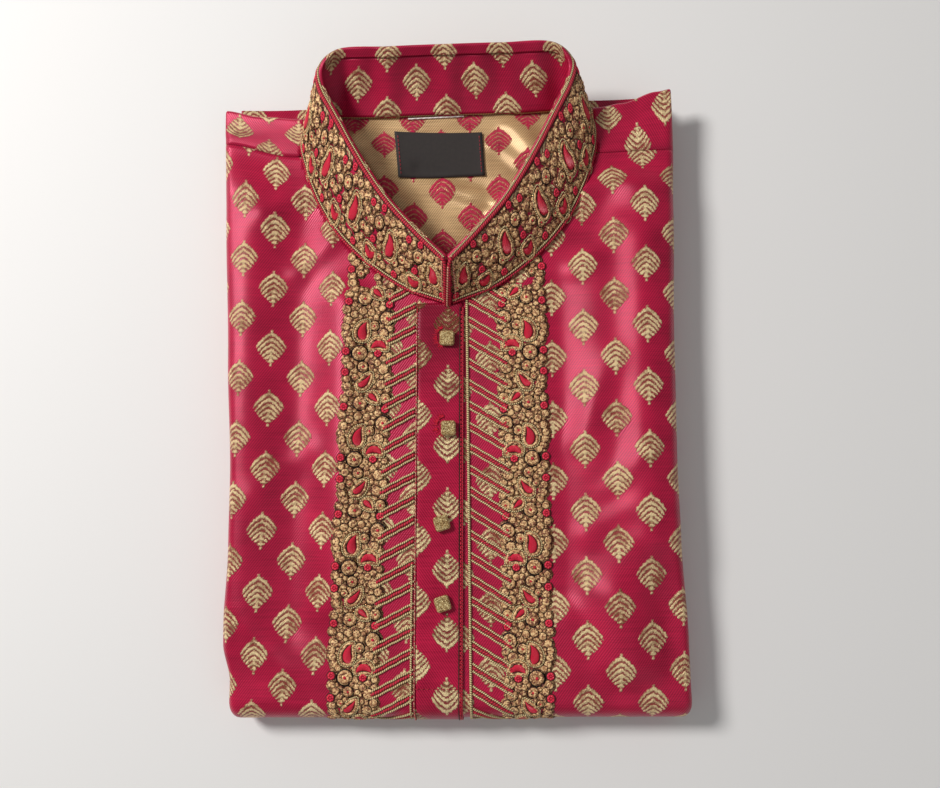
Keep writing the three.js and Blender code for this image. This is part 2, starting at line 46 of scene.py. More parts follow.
# ---------------------------------------------------------------------------------------------
# The table, the light and the camera. A plain pale floor, a soft key from the upper left that
# lets the collar throw its shadow to the lower right, and light from all round.
FLOOR_SIZE = 4.0
floor_bm = bmesh.new()
bmesh.ops.create_grid(floor_bm, x_segments=8, y_segments=8, size=FLOOR_SIZE / 2)
floor_mesh = bpy.data.meshes.new("floor")
floor_bm.to_mesh(floor_mesh)
floor_bm.free()
floor = bpy.data.objects.new("floor", floor_mesh)
bpy.context.scene.collection.objects.link(floor)
floor_finish = bpy.data.materials.new("pale table")
floor_finish.use_nodes = True
floor_shader = floor_finish.node_tree.nodes["Principled BSDF"].inputs
floor_shader["Base Color"].default_value = (0.86, 0.85, 0.84, 1)
floor_shader["Roughness"].default_value = 0.8
floor_mesh.materials.append(floor_finish)


def soft_light(name, toward, distance, size, power, colour):
    lamp = bpy.data.lights.new(name, "AREA")
    lamp.shape, lamp.size, lamp.energy, lamp.color = "DISK", size, power, colour
    holder = bpy.data.objects.new(name, lamp)
    direction = Vector(toward).normalized()
    holder.location = direction * distance
    holder.rotation_euler = direction.to_track_quat("Z", "Y").to_euler()
    bpy.context.scene.collection.objects.link(holder)


soft_light("window", (-0.66, 0.38, 0.72), 1.6, 0.42, 22, (1.0, 0.985, 0.965))
soft_light("room", (0.5, -0.7, 0.9), 1.8, 1.4, 2, (0.95, 0.97, 1.0))
bpy.context.scene.view_settings.view_transform = "Standard"

surround = bpy.data.worlds.new("surround")
surround.use_nodes = True
surround.node_tree.nodes["Background"].inputs["Color"].default_value = (1, 0.99, 0.98, 1)
surround.node_tree.nodes["Background"].inputs["Strength"].default_value = 0.24
bpy.context.scene.world = surround

EYE = (33.05, -53.3, 510)
EYE_TURNS = (("X", -5.39), ("Y", -2.54), ("Z", 1.04))
LENS, SENSOR = 34.47, 36
lens = bpy.data.cameras.new("camera")
lens.lens, lens.sensor_width = LENS, SENSOR
lens.clip_start = 0.01
camera = bpy.data.objects.new("camera", lens)
to_camera = Matrix.Identity(3)
for axis, degrees in EYE_TURNS:
    to_camera = Matrix.Rotation(math.radians(degrees), 3, axis) @ to_camera
camera.matrix_world = Matrix.Translation(Vector(EYE) * MM) @ to_camera.transposed().to_4x4()
bpy.context.scene.collection.objects.link(camera)
bpy.context.scene.camera = camera

# ---------------------------------------------------------------------------------------------
# The front. Silky crimson twill with woven gold leaves. One piece of cloth, which lies on top,
# turns under round both sides and round the bottom fold, and runs back underneath to a fold.
SEAM_Y = 130
TOP_Z = 23
BOTTOM_Y = -180.7
BOTTOM_RADIUS = 11.5
SKIRT_RADIUS, SKIRT_FOLD_Y, SKIRT_TAPER_Y = 5, 156, 100
SIDE_RADIUS, TURNED_RADIUS = 4.75, 1.7
TUCK, TUCK_END = 14, 0.4
UNDER_IN = 1.5  # how much narrower each side is underneath
TAIL = 10  # how far the cloth comes back past its last fold
FRONT_TOP = SEAM_Y - (BOTTOM_Y + BOTTOM_RADIUS)
UNDERSIDE = SKIRT_TAPER_Y - (BOTTOM_Y + BOTTOM_RADIUS)
TAPER = SKIRT_FOLD_Y - SKIRT_RADIUS - SKIRT_TAPER_Y
FRONT_RUNS = (
    ("straight", FRONT_TOP), ("turn", BOTTOM_RADIUS), ("straight", UNDERSIDE), ("straight", TAPER),
    ("turn", SKIRT_RADIUS), ("straight", TAIL),
)
FRONT_FOLD_END = FRONT_TOP + math.pi * BOTTOM_RADIUS
SKIRT_TAPER = FRONT_FOLD_END + UNDERSIDE
SKIRT_END = SKIRT_TAPER + TAPER
FRONT_END = SKIRT_END + math.pi * SKIRT_RADIUS + TAIL

LEFT_EDGE = (
    (-182, 121.2), (-160, 120.6), (-140, 124.4), (-87, 121.6), (-47, 121),
    (15, 123), (96, 125), (134, 126.3), (160, 125.4),
)
RIGHT_EDGE = (
    (-182, 126.2), (-160, 125.6), (-140, 125.4), (-87, 123.2), (-47, 122.6),
    (15, 123.2), (96, 125.3), (134, 126.4), (160, 125.6),
)
# Soft folds: a line from (x, y) to (x, y), how wide and how high, in millimetres.
FOLDS = (
    (-112, 112, -116, -118, 17, 6.0), (-80, 100, -86, -128, 11, -1.8), (-57, 44, -61, -118, 11, 4.2),
    (60, 50, 61, -112, 9, -1.7), (107, 104, 105, -84, 15, 6.2), (82, 60, 79, -46, 10, 1.6),
    (88, -116, 92, -164, 17, 6.2), (112, -120, 120, -166, 9, -1.7), (-108, -132, -84, -158, 9, 2.6),
    (-100, 96, -74, 112, 8, 2.6), (-84, 62, -66, 80, 7, 2.2), (76, 104, 104, 120, 8, 2.4),
    (70, 60, 94, 84, 7, 1.6), (88, 10, 70, -34, 8, 1.6), (60, -128, 66, -158, 8, 1.8),
    (-104, -60, -78, -36, 8, 1.5), (84, -60, 104, -40, 7, 1.4), (72, -84, 92, -70, 7, 1.2),
)
# How far the shoulder seams stray up or down from a straight line.
SEAM_STRAY = ((-127, 7.0), (-84, -1.8), (84, -4.4), (127, -3.6))


def eased(share):
    share = np.clip(share, 0, 1)
    return share * share * (3 - 2 * share)


def step(at, low, high):
    return eased((at - low) / (high - low))


def between(rows, at):
    """A table of (place, value), read off at any place with eased steps."""
    places, values = np.array(rows, float).T
    at = np.clip(at, places[0], places[-1])
    row = np.clip(np.searchsorted(places, at, side="right") - 1, 0, len(places) - 2)
    share = eased((at - places[row]) / (places[row + 1] - places[row]))
    return values[row] + (values[row + 1] - values[row]) * share


def edge_at(x, y):
    """How far out the garment's edge lies, on the side that x is on."""
    return np.where(x < 0, between(LEFT_EDGE, y), between(RIGHT_EDGE, y))


def both_edges(y, inwards):
    return tuple(float(between(edge, y)[0]) - inwards for edge in (LEFT_EDGE, RIGHT_EDGE))


def run_lengths(points):
    """How far along a line each of its points is."""
    return np.concatenate([[0], np.cumsum(np.linalg.norm(np.diff(points, axis=0), axis=1))])


def ridges(folds, x, y):
    """How high the soft folds of a table stand at a point."""
    height = np.zeros(np.broadcast(x, y).shape)
    for x0, y0, x1, y1, width, high in folds:
        run = np.array([x1 - x0, y1 - y0])
        share = np.clip(((x - x0) * run[0] + (y - y0) * run[1]) / (run @ run), 0, 1)
        off = np.hypot(x - x0 - share * run[0], y - y0 - share * run[1]) / width
        height = height + high * np.exp(-off * off)
    return height


def fold_height(x, y):
    """The folds of the front, which fade out towards the shoulder seams and the bottom fold."""
    flat_end = -(BOTTOM_Y + BOTTOM_RADIUS)
    faded = (1 - step(y, SEAM_Y - 25, SEAM_Y)) * (1 - step(-y, flat_end - 18, flat_end))
    return ridges(FOLDS, x, y) * faded


def along_route(start, heading, turn, runs, distance):
    """Follows straight runs and half turns in the YZ plane: y, z and the direction outwards."""
    y, z = (np.full(distance.shape, float(v)) for v in start)
    angle = np.full(distance.shape, float(heading))
    left = distance.astype(float)
    for kind, size in runs:
        here = np.clip(left, 0, size if kind == "straight" else math.pi * size)
        if kind == "straight":
            y, z = y + here * np.cos(angle), z + here * np.sin(angle)
        else:
            middle_y, middle_z = y - turn * size * np.sin(angle), z + turn * size * np.cos(angle)
            angle = angle + turn * here / size
            y, z = middle_y + turn * size * np.sin(angle), middle_z - turn * size * np.cos(angle)
        left = left - here
    return y, z, turn * np.sin(angle), -turn * np.cos(angle)


def side_wrap(across, edge, radius):
    """Turns cloth under at its sides: x, how far it drops, and its tilt."""
    flat = edge - radius
    over = np.abs(across) - flat
    way = np.sign(across)
    angle = np.clip(over / radius, 0, math.pi)
    turned = way * (flat + radius * np.sin(angle) - np.maximum(over - math.pi * radius, 0))
    x = np.where(over <= 0, across, turned)
    return x, radius * (1 - np.cos(angle)), way * angle


def front_side_radius(down):
    below = SIDE_RADIUS + (SKIRT_RADIUS - SIDE_RADIUS) * step(down, FRONT_TOP, FRONT_FOLD_END)
    return below + (TURNED_RADIUS - below) * step(down, SKIRT_TAPER + 12, SKIRT_END)


def front_point(x, y, out=0.0):
    """The front's outer face. x and y are distances over the cloth: y is the real y on top."""
    down = SEAM_Y - y
    at_y, at_z, out_y, out_z = along_route((SEAM_Y, TOP_Z), math.pi, 1, FRONT_RUNS, down)
    under = step(down, FRONT_TOP, FRONT_FOLD_END)
    edge = edge_at(x, at_y) - UNDER_IN * under
    side_x, drop, tilt = side_wrap(x, edge, front_side_radius(down))
    rise = fold_height(side_x, at_y) * np.cos(np.minimum(np.abs(tilt), math.pi / 2)) * (1 - under)
    away = rise + out * np.cos(tilt) - drop
    seam_lean = between(SEAM_STRAY, side_x) * step(at_y, SEAM_Y - 30, SEAM_Y) * (1 - under)
    return np.stack([side_x + out * np.sin(tilt), at_y + seam_lean + out_y * away, at_z + out_z * away], -1)


# The neck: half of its seam, from the centre front round to the centre back.
NECK_SEAM = (
    (0, 42.2), (27.5, 52.6), (59.4, 79.4), (76.2, 108), (82, 138), (73, 149.5), (40, 150.6), (0, 150.8),
)
NECK_CENTRE, END_GAP = 1, 0.5
SEAM_Z, BACK_SEAM_Z = 23.5, 20.3


def smooth_ring(half, heights, samples=2400):
    """A mirrored curve through half a ring, open at the centre front: its points and lengths."""
    outs = [x + (END_GAP if i == 0 else 0) for i, (x, _) in enumerate(half)]
    left, right = (
        [(NECK_CENTRE + way * out, y, z) for out, (_, y), z in zip(outs, half, heights)] for way in (-1, 1)
    )
    knots = np.array(left[:-1] + right[::-1])
    knots = np.vstack([2 * knots[0] - knots[1], knots, 2 * knots[-1] - knots[-2]])
    gaps = np.sqrt(np.linalg.norm(np.diff(knots, axis=0), axis=1))
    at = np.linspace(0, len(knots) - 3, samples)
    i = np.minimum(at.astype(int), len(knots) - 4)
    t = (at - i)[:, None]
    p0, p1, p2, p3 = (knots[i + k] for k in range(4))
    g0, g1, g2 = (gaps[i + k][:, None] for k in range(3))
    leave = ((p1 - p0) / g0 - (p2 - p0) / (g0 + g1) + (p2 - p1) / g1) * g1
    arrive = ((p2 - p1) / g1 - (p3 - p1) / (g1 + g2) + (p3 - p2) / g2) * g1
    points = (
        p1 + leave * t + (-3 * p1 + 3 * p2 - 2 * leave - arrive) * t**2
        + (2 * p1 - 2 * p2 + leave + arrive) * t**3
    )
    return points, run_lengths(points)


def on_ring(curve, share):
    points, lengths = curve
    return np.stack([np.interp(share * lengths[-1], lengths, points[:, k]) for k in range(3)], -1)


seam_heights = [SEAM_Z + (BACK_SEAM_Z - SEAM_Z) * float(step(y, SEAM_Y + 5, 150)) for x, y in NECK_SEAM]
seam_ring = smooth_ring(NECK_SEAM, seam_heights)


def neck_outline(grow, count=400):
    at = on_ring(seam_ring, np.linspace(0, 1, count))[:, :2]
    run = np.gradient(at, axis=0)
    run /= np.linalg.norm(run, axis=1)[:, None]
    return at + grow * np.stack([-run[:, 1], run[:, 0]], -1)


def inside(outline, x, y):
    """Which points lie inside a closed outline."""
    within = np.zeros(np.shape(x), bool)
    for (ax, ay), (bx, by) in zip(outline, np.roll(outline, -1, axis=0)):
        crosses = (ay > y) != (by > y)
        if crosses.any():
            within ^= crosses & (x < ax + (bx - ax) * (y - ay) / (by - ay if by != ay else 1))
    return within


def spread_grid(bm, table):
    """A grid of faces with its corners put at table[row][column]."""
    rows, columns = table.shape[0] - 1, table.shape[1] - 1
    made = bmesh.ops.create_grid(bm, x_segments=columns, y_segments=rows, size=0.5)["verts"]
    cells = [(round((v.co.y + 0.5) * rows), round((v.co.x + 0.5) * columns)) for v in made]
    for vert, cell in zip(made, cells):
        vert.co = table[cell]


def flat_sheet(rows):
    """A new flat piece: a grid of faces through rows of corners."""
    bm = bmesh.new()
    spread_grid(bm, np.array(rows))
    return bm


def cut_away(bm, gone, outline, reach=3.0):
    """Cuts faces out of a flat piece, and moves the cut's edge onto the outline."""
    middles = np.array([f.calc_center_median() for f in bm.faces])
    drop = [f for f, g in zip(bm.faces, gone(middles[:, 0], middles[:, 1])) if g]
    corners = {v for f in drop for v in f.verts}
    bmesh.ops.delete(bm, geom=drop, context="FACES")
    for vert in [v for v in corners if v.is_valid and v.is_boundary]:
        off = np.linalg.norm(outline - np.array(vert.co)[:2], axis=1)
        if off.min() < reach:
            vert.co.x, vert.co.y = outline[off.argmin()]


def make_piece(name, bm, place, finishes, pattern=None):
    """Lays a flat piece, drawn in millimetres, in its place on the garment."""
    mesh = bpy.data.meshes.new(name)
    bm.to_mesh(mesh)
    bm.free()
    flat = np.empty(len(mesh.vertices) * 3, np.float32)
    mesh.vertices.foreach_get("co", flat)
    x, y, z = flat.reshape(-1, 3).T.astype(float)
    if pattern:
        u, v = pattern(x, y)
        weave = mesh.attributes.new("weave", "FLOAT_VECTOR", "POINT")
        weave.data.foreach_set("vector", np.stack([u, v, 0 * u], -1).astype(np.float32).ravel())
    mesh.vertices.foreach_set("co", (place(x, y, z) * MM).astype(np.float32).ravel())
    mesh.update()
    for finish in finishes:
        mesh.materials.append(finish)
    mesh.shade_smooth()
    piece = bpy.data.objects.new(name, mesh)
    bpy.context.scene.collection.objects.link(piece)
    return piece


def thicken(piece, thickness):
    """Gives cloth its thickness, inwards from the face that it was drawn on, and its reverse."""
    wall = piece.modifiers.new("cloth thickness", "SOLIDIFY")
    wall.thickness, wall.offset = thickness * MM, -1
    wall.material_offset = 1
    wall.use_quality_normals = True


class Thread:
    """A value on its way through a finish. Sums written with it add the nodes for them."""

    def __init__(self, tree, socket):
        self.tree, self.socket = tree, socket

    def node(self, kind, settings=None, sockets=None, out=0):
        made = self.tree.nodes.new("ShaderNode" + kind)
        for name, value in (settings or {}).items():
            if name == "stops":
                stops = made.color_ramp.elements
                while len(stops) < len(value):
                    stops.new(0.5)
                for stop, (place, colour) in zip(stops, value):
                    stop.position, stop.color = place, colour
            else:
                setattr(made, name, value)
        for name, value in (sockets or {}).items():
            if isinstance(value, Thread):
                self.tree.links.new(value.socket, made.inputs[name])
            else:
                made.inputs[name].default_value = value
        return Thread(self.tree, made.outputs[out])

    def sum(self, operation, *others):
        return self.node("Math", {"operation": operation}, dict(enumerate((self, *others))))

    def __add__(self, other):
        return self.sum("ADD", other)

    __radd__ = __add__

    def __sub__(self, other):
        return self.sum("SUBTRACT", other)

    def __rsub__(self, other):
        return self.node("Math", {"operation": "SUBTRACT"}, {0: other, 1: self})

    def __mul__(self, other):
        return self.sum("MULTIPLY", other)

    __rmul__ = __mul__

    def __truediv__(self, other):
        return self.sum("DIVIDE", other)

    def __pow__(self, other):
        return self.sum("POWER", other)

    def __mod__(self, other):
        return self.sum("FLOORED_MODULO", other)

    def __abs__(self):
        return self.sum("ABSOLUTE")

    def soft(self, width):
        """0 to 1 as the value rises through zero, over that width."""
        clamped = {"operation": "MULTIPLY_ADD", "use_clamp": True}
        return self.node("Math", clamped, {0: self, 1: 1 / width, 2: 0.5})

    def tint(self, low, high):
        """Mixes two colours by this value."""
        return self.node("Mix", {"data_type": "RGBA"}, {0: self, 6: low, 7: high}, out=2)

    def attribute(self, name):
        return self.node("Attribute", {"attribute_name": name}, out=1)

    def parts(self):
        split = self.node("SeparateXYZ", {}, {0: self})
        outs = split.socket.node.outputs
        return tuple(Thread(self.tree, outs[k]) for k in range(3))

    def joined(self, y, z=0.0):
        return self.node("CombineXYZ", {}, {0: self, 1: y, 2: z})

    def noise(self, scale, detail=2.0):
        return self.node("TexNoise", {}, {"Vector": self, "Scale": scale, "Detail": detail})

    def flakes(self, scale):
        """Small cells, each with two values of its own."""
        cells = self.node("TexVoronoi", {"feature": "F1"}, {"Vector": self, "Scale": scale}, out=1)
        return cells.parts()[:2]

    def ramp(self, *stops):
        return self.node("ValToRGB", {"stops": stops}, {0: self})

    def relief(self, strength, distance=1.0):
        """A bump as high as this value, with its distance in millimetres."""
        return self.node("Bump", {}, {"Strength": strength, "Distance": distance * MM, "Height": self})


def paint(shader, shade, roughness, relief, metal=0.0):
    """Feeds a finish, each of its sides with one value or a varying one."""
    sides = {"Base Color": shade, "Roughness": roughness, "Normal": relief, "Metallic": metal}
    for side, value in sides.items():
        if isinstance(value, Thread):
            value.tree.links.new(value.socket, shader.inputs[side])
        else:
            shader.inputs[side].default_value = value


def new_finish(name, attribute=None, **fixed):
    """A finish to fill in: its material, its shader, and the map that it is drawn on."""
    finish = bpy.data.materials.new(name)
    finish.use_nodes = True
    tree = finish.node_tree
    shader = tree.nodes["Principled BSDF"]
    for socket, value in fixed.items():
        shader.inputs[socket.replace("_", " ")].default_value = value
    start = Thread(tree, None)
    return finish, shader, start.attribute(attribute) if attribute else start.node("TexCoord", out=3)


def colour(red, green, blue):
    """A colour given as the eye sees it, 0 to 255, for a shader."""
    linear = (((c / 255 + 0.055) / 1.055) ** 2.4 if c > 10 else c / 3295 for c in (red, green, blue))
    return (*linear, 1.0)


COLUMN, ROW = 16.6, 33.1  # the leaves' columns, and the drop from one leaf to the next
LEAF_TIP, LEAF_HALF, LEAF_WIDEST, LEAF_LOWER = 9.0, 7.5, 1.7, 10.2
VEIN = 3.25
TWILL = 1.15


def leaf_cloth(name, ground, leaf, gap, vein_share, metal, ground_metal, painted_shade_start=None, **fixed):
    """Twill with a leaf woven into it, again and again, each column half a drop from the next.

    Its ground and its leaf have each a lit and a shaded colour, and the gap lies between veins.
    """
    finish, shader, drawn_on = new_finish(name, "weave", **fixed)
    x, y, _ = drawn_on.parts()
    # Painted shade: it deepens as the weave's rows fall below painted_shade_start, and darkens the leaves and
    # the ground.
    painted_shade = (painted_shade_start - y).soft(34.0) if painted_shade_start is not None else 0.0

    # Which column and which leaf a point is in, and where in that leaf.
    unevenness = drawn_on.noise(1.1) - 0.5
    x1 = x + unevenness * 1.2
    column = (x1 / COLUMN + 0.5).sum("FLOOR")
    leaf_x = abs(x1 - column * COLUMN)
    leaf_y = (y + unevenness + column * (ROW / 2) + ROW / 2) % ROW - ROW / 2

    # Veins follow the leaf's arched top, one under the other, each ragged with loose thread.
    ragged, grit = drawn_on.noise(0.7, 4.0) - 0.5, drawn_on.noise(2.4) - 0.5
    below = LEAF_TIP - leaf_y - leaf_x * 0.43 - leaf_x * leaf_x * (0.053 + (LEAF_TIP - leaf_y) * 0.0022)
    below = below + ragged * 2.7
    phase = ((below.sum("MAXIMUM", 0.01) / VEIN) ** 1.06 + grit * 0.6) % 1.0
    in_vein = (vein_share - phase).soft(0.24) * (phase + 0.02).soft(0.16)

    # The leaf narrows to its foot, and a stem runs out of it at either end.
    narrowing = (LEAF_WIDEST - leaf_y) / LEAF_LOWER
    half = LEAF_HALF - (narrowing.sum("MAXIMUM", 0.0) ** 1.9) * LEAF_HALF
    serrated = half + 0.3 - (1 - in_vein) * 1.2 + ragged * 1.8 + grit * 1.4
    in_leaf = below.soft(0.6) * (serrated - leaf_x).soft(0.7)
    stem = (0.6 - leaf_x).soft(0.5) * (10.0 - abs(leaf_y)).soft(0.6) * (abs(leaf_y + 0.1) - 8.2).soft(0.8)
    stem = stem.sum("MAXIMUM", (0.75 - leaf_x).soft(0.6) * (-1.0 - leaf_y).soft(2.0) * in_leaf)
    raised = (in_leaf * in_vein).sum("MAXIMUM", stem)

    # The leaf's floats gleam unevenly, from thread to thread and from leaf to leaf: a painted highlight along
    # each vein's crown, and painted sheen that changes from leaf to leaf.
    floats = leaf_x.joined(below * 2.4).noise(1.2, 3.0)
    crown = 1 - abs(phase / vein_share * 2 - 1) * 0.9
    patch, painted_sheen_by_leaf = drawn_on.noise(0.19) - 0.5, drawn_on.noise(0.045, 1.0) - 0.5
    gleam = floats * 2.1 - 1.1 + crown * 0.5 + patch * 2.4 + painted_sheen_by_leaf * 1.6 + stem * 0.2 - painted_shade * 0.75

    # The ground is fine slanting twill, with slubs across it, and soft clouds of painted shade over it.
    twill = ((x * -0.819 + y * 0.574) * (2 * math.pi / TWILL)).sum("SINE") * 0.5 + 0.5
    slub = (x * 0.05).joined(y * 1.6).noise(1.0, 3.0)
    painted_shade_clouds = drawn_on.noise(0.05) - 0.5
    ground_light = twill * 0.62 + painted_shade_clouds * 0.9 + (slub - 0.5) * 0.8 - 0.26 - painted_shade * 0.45
    between_veins = in_leaf.tint(ground_light.soft(1.0).tint(ground[1], ground[0]), gap)
    height = raised * crown * 0.26 + in_leaf * 0.06 + raised * floats * 0.55 + twill * 0.1 + slub * 0.08
    paint(
        shader, raised.tint(between_veins, gleam.soft(1.0).tint(leaf[1], leaf[0])),
        0.32 + (slub - 0.5) * 0.16, height.relief(0.9), raised * (metal - ground_metal) + ground_metal,
    )
    return finish


# Each pair holds a lit colour and a painted shade of it.
CRIMSON = colour(206, 30, 74), colour(118, 6, 36)
GOLD = colour(255, 232, 176), colour(146, 92, 58)
brocade = leaf_cloth(
    "crimson brocade", CRIMSON, GOLD, colour(150, 66, 58), vein_share=0.66, metal=0.2, ground_metal=0.0,
    Specular_IOR_Level=1.0, Specular_Tint=colour(255, 140, 168),
)
brocade_back = leaf_cloth(
    "gold reverse of the brocade", (colour(238, 200, 146), colour(140, 98, 60)),
    (colour(218, 34, 82), colour(158, 12, 50)), colour(222, 160, 118), vein_share=0.8, metal=0.0,
    ground_metal=0.2, Specular_IOR_Level=0.5,
)


def front_weave(x, y):
    """Where the leaves fall on the front: two halves, each leaning a little as it was cut."""
    down = np.clip(100 - y, 0, 300)
    left = (x + 81.9 + 0.018 * (down - 96) + 0.0001 * (down**2 - 96**2)) * (COLUMN / 16.2)
    right = (x - 90.3 + 0.012 * (down - 89)) * (COLUMN / 16.95) + 10 * COLUMN
    share = step(x, -16, 6)
    row_left = y - 3.0 + 0.01 * (x + 80)
    row_right = (y - 11.5) * (ROW / 33.3)
    return left * (1 - share) + right * share, row_left * (1 - share) + row_right * share


def across_steps(left, right, radius, tuck, counts=(3, 10, 124)):
    """Distances over the cloth from tucked end to tucked end, for one row of a wrapped piece."""
    tucked, turned, flat = counts
    turn = math.pi * radius
    return np.concatenate([
        -(left - radius) - turn - tuck * np.linspace(1, 0, tucked, endpoint=False),
        -(left - radius) - turn * np.linspace(1, 0, turned, endpoint=False),
        np.linspace(-(left - radius), right - radius, flat + 1),
        right - radius + turn * np.linspace(0, 1, turned + 1)[1:],
        right - radius + turn + tuck * np.linspace(0, 1, tucked + 1)[1:],
    ])


def even_steps(start, *runs):
    """Distances along a route: so many even steps to each place in turn."""
    steps = [np.array([start])]
    for end, count in runs:
        steps.append(np.linspace(steps[-1][-1], end, count + 1)[1:])
    return np.concatenate(steps)


front_downs = even_steps(
    0, (FRONT_TOP, 150), (FRONT_FOLD_END, 22), (SKIRT_TAPER, 44), (SKIRT_END, 14), (FRONT_END - TAIL, 10),
    (FRONT_END, 2),
)
front_rows = []
for down in front_downs[::-1]:
    at_y = along_route((SEAM_Y, TOP_Z), math.pi, 1, FRONT_RUNS, np.array([down]))[0]
    left, right = both_edges(at_y, UNDER_IN * float(step(down, FRONT_TOP, FRONT_FOLD_END)))
    tucked = float(step(down, 0, 45) * (1 - step(down, SKIRT_TAPER - 60, SKIRT_TAPER)))
    across = across_steps(left, right, float(front_side_radius(down)), TUCK_END + (TUCK - TUCK_END) * tucked)
    front_rows.append(np.stack([across, np.full(len(across), SEAM_Y - down), 0 * across], -1))
front_bm = flat_sheet(front_rows)
neck_cut = neck_outline(-0.8)
cut_away(front_bm, lambda x, y: inside(neck_cut, x, y) & (y > 30), neck_cut)
front_cloth = make_piece("front_cloth", front_bm, front_point, (brocade, brocade_back), front_weave)
thicken(front_cloth, 1.0)
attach(front_cloth, "root")
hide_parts("front_panel")

# ---------------------------------------------------------------------------------------------
# The back. The same brocade: a strip of it comes over each shoulder, with its leaves upside
# down, and its gold reverse shows inside the neck, where it sinks between the collar's sides.
SHOULDER_RADIUS, SHOULDER_Y = 2.25, 159
BACK_START = SEAM_Y + 0.3
BACK_RUNS = (
    ("straight", SHOULDER_Y - SHOULDER_RADIUS - BACK_START),
    ("turn", SHOULDER_RADIUS),
    ("straight", SHOULDER_Y - SHOULDER_RADIUS + 150),
)
BACK_FOLD = BACK_RUNS[0][1]
BACK_FOLD_END = BACK_FOLD + math.pi * SHOULDER_RADIUS
BACK_END = BACK_FOLD_END + BACK_RUNS[2][1]
BACK_THICK = 1.5
SHOULDER_LINE = ((-127, 157.5), (-104, 153), (-83, 151), (85, 152.4), (98, 154.4), (118, 160.5), (127, 162))
HOLLOW_X, HOLLOW_Y, HOLLOW_WIDE, HOLLOW_LONG, HOLLOW_DEEP = 1, 100, 46, 34, 3
NECK_RISE = 0.36  # how much of the shoulder line's dip the reverse makes up, to reach the neck seam
INDOORS_IN = 9  # how much narrower each side is inside
BACK_FOLDS = (
    (-52, 136, -24, 98, 6, 3.0), (-34, 106, -6, 62, 6, 2.6), (0, 110, 34, 98, 4.5, 2.6),
    (36, 146, 58, 118, 6, 2.5), (26, 104, 8, 70, 6, -1.3), (-16, 121, 20, 109, 4, -1.0),
    (-44, 146, -60, 132, 4.5, 2.0), (30, 130, 50, 108, 4.5, -1.2), (30, 92, 10, 62, 5, 2.2),
    (27, 134, 40, 122, 4, 1.6),
)


def hollow_depth(x, y):
    return HOLLOW_DEEP * np.exp(-(((x - HOLLOW_X) / HOLLOW_WIDE) ** 2) - ((y - HOLLOW_Y) / HOLLOW_LONG) ** 2)


def back_side_radius(down):
    return SIDE_RADIUS + (1.2 - SIDE_RADIUS) * step(down, 0, BACK_FOLD)


def how_indoors(down):
    return step(down, BACK_FOLD_END, BACK_FOLD_END + 12)


def back_point(x, y, out=0.0):
    """The back's outer face. x and y are distances over the cloth: y is the real y at its seam."""
    down = y - BACK_START
    at_y, at_z, out_y, out_z = along_route((BACK_START, TOP_Z), 0, -1, BACK_RUNS, down)
    to_edge = step(down, 0, BACK_FOLD) * (1 - step(down, BACK_FOLD_END, BACK_FOLD_END + 40))
    edge = edge_at(x, at_y) - INDOORS_IN * how_indoors(down)
    side_x, drop, tilt = side_wrap(x, edge, back_side_radius(down))
    past = down >= BACK_FOLD_END
    side_x, drop, tilt = np.where(past, x, side_x), np.where(past, 0, drop), np.where(past, 0, tilt)
    at_neck = past * (1 - step(np.abs(side_x - NECK_CENTRE), 66, 80))
    moved = at_y + (between(SHOULDER_LINE, side_x) - SHOULDER_Y) * to_edge * (1 - NECK_RISE * at_neck)
    seam_lean = between(SEAM_STRAY, side_x) * (1 - step(down, 0, 18))
    sunk = how_indoors(down) * (hollow_depth(side_x, moved) - ridges(BACK_FOLDS, side_x, moved))
    away = out * np.cos(tilt) - drop + sunk
    return np.stack([side_x + out * np.sin(tilt), moved + seam_lean + out_y * away, at_z + out_z * away], -1)


def back_weave(x, y):
    """The leaves of the back: upside down on the strips, the right way up inside."""
    mirrored = 2 * (BACK_START + BACK_FOLD_END) - y - 2 * SHOULDER_RADIUS
    at_y = np.where(y - BACK_START < BACK_FOLD_END, y, mirrored)
    inside_u, inside_v = (x + 3.0) * (COLUMN / 16.2), (at_y - 110) * (ROW / 30.6)
    strip_u = np.where(x < 0, (x + 117.0) * (COLUMN / 16.8), (x - 106.2) * (COLUMN / 15.6))
    strip_v = -(y - np.where(x < 0, 147.5, 134.0))
    inner = y - BACK_START > BACK_FOLD_END - 0.1
    return np.where(inner, inside_u, strip_u), np.where(inner, inside_v, strip_v)


back_rows = []
for down in even_steps(0, (BACK_FOLD, 13), (BACK_FOLD_END, 8), (BACK_FOLD_END + 130, 65), (BACK_END, 18)):
    at_y = along_route((BACK_START, TOP_Z), 0, -1, BACK_RUNS, np.array([down]))[0]
    left, right = both_edges(at_y, INDOORS_IN * float(how_indoors(down)))
    radius = float(back_side_radius(down))
    across = across_steps(left, right, radius, TUCK_END, (1, 6, 124))
    if down >= BACK_FOLD_END - 0.01:
        across = across * ((right - radius) / across.max())
    back_rows.append(np.stack([across, np.full(len(across), BACK_START + down), 0 * across], -1))
back_bm = flat_sheet(back_rows)
strip_cut = neck_outline(0.3)
BACK_NECK = 81.5


def off_the_strip(x, y):
    on_strip = y - BACK_START < BACK_FOLD_END
    return on_strip & (inside(strip_cut, x, y) | ((np.abs(x - NECK_CENTRE) < BACK_NECK) & (y > 142)))


cut_away(back_bm, off_the_strip, strip_cut, reach=2.2)
back_cloth = make_piece("back_cloth", back_bm, back_point, (brocade, brocade_back), back_weave)
thicken(back_cloth, BACK_THICK)
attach(back_cloth, "root")
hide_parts("back_panel")

# ---------------------------------------------------------------------------------------------
# The folds inside. The sides and back are turned in under the chest, the skirt is turned up
# behind, and the sleeves lie flat between them, so their edges show as layers all round.
LAYER = 1.0


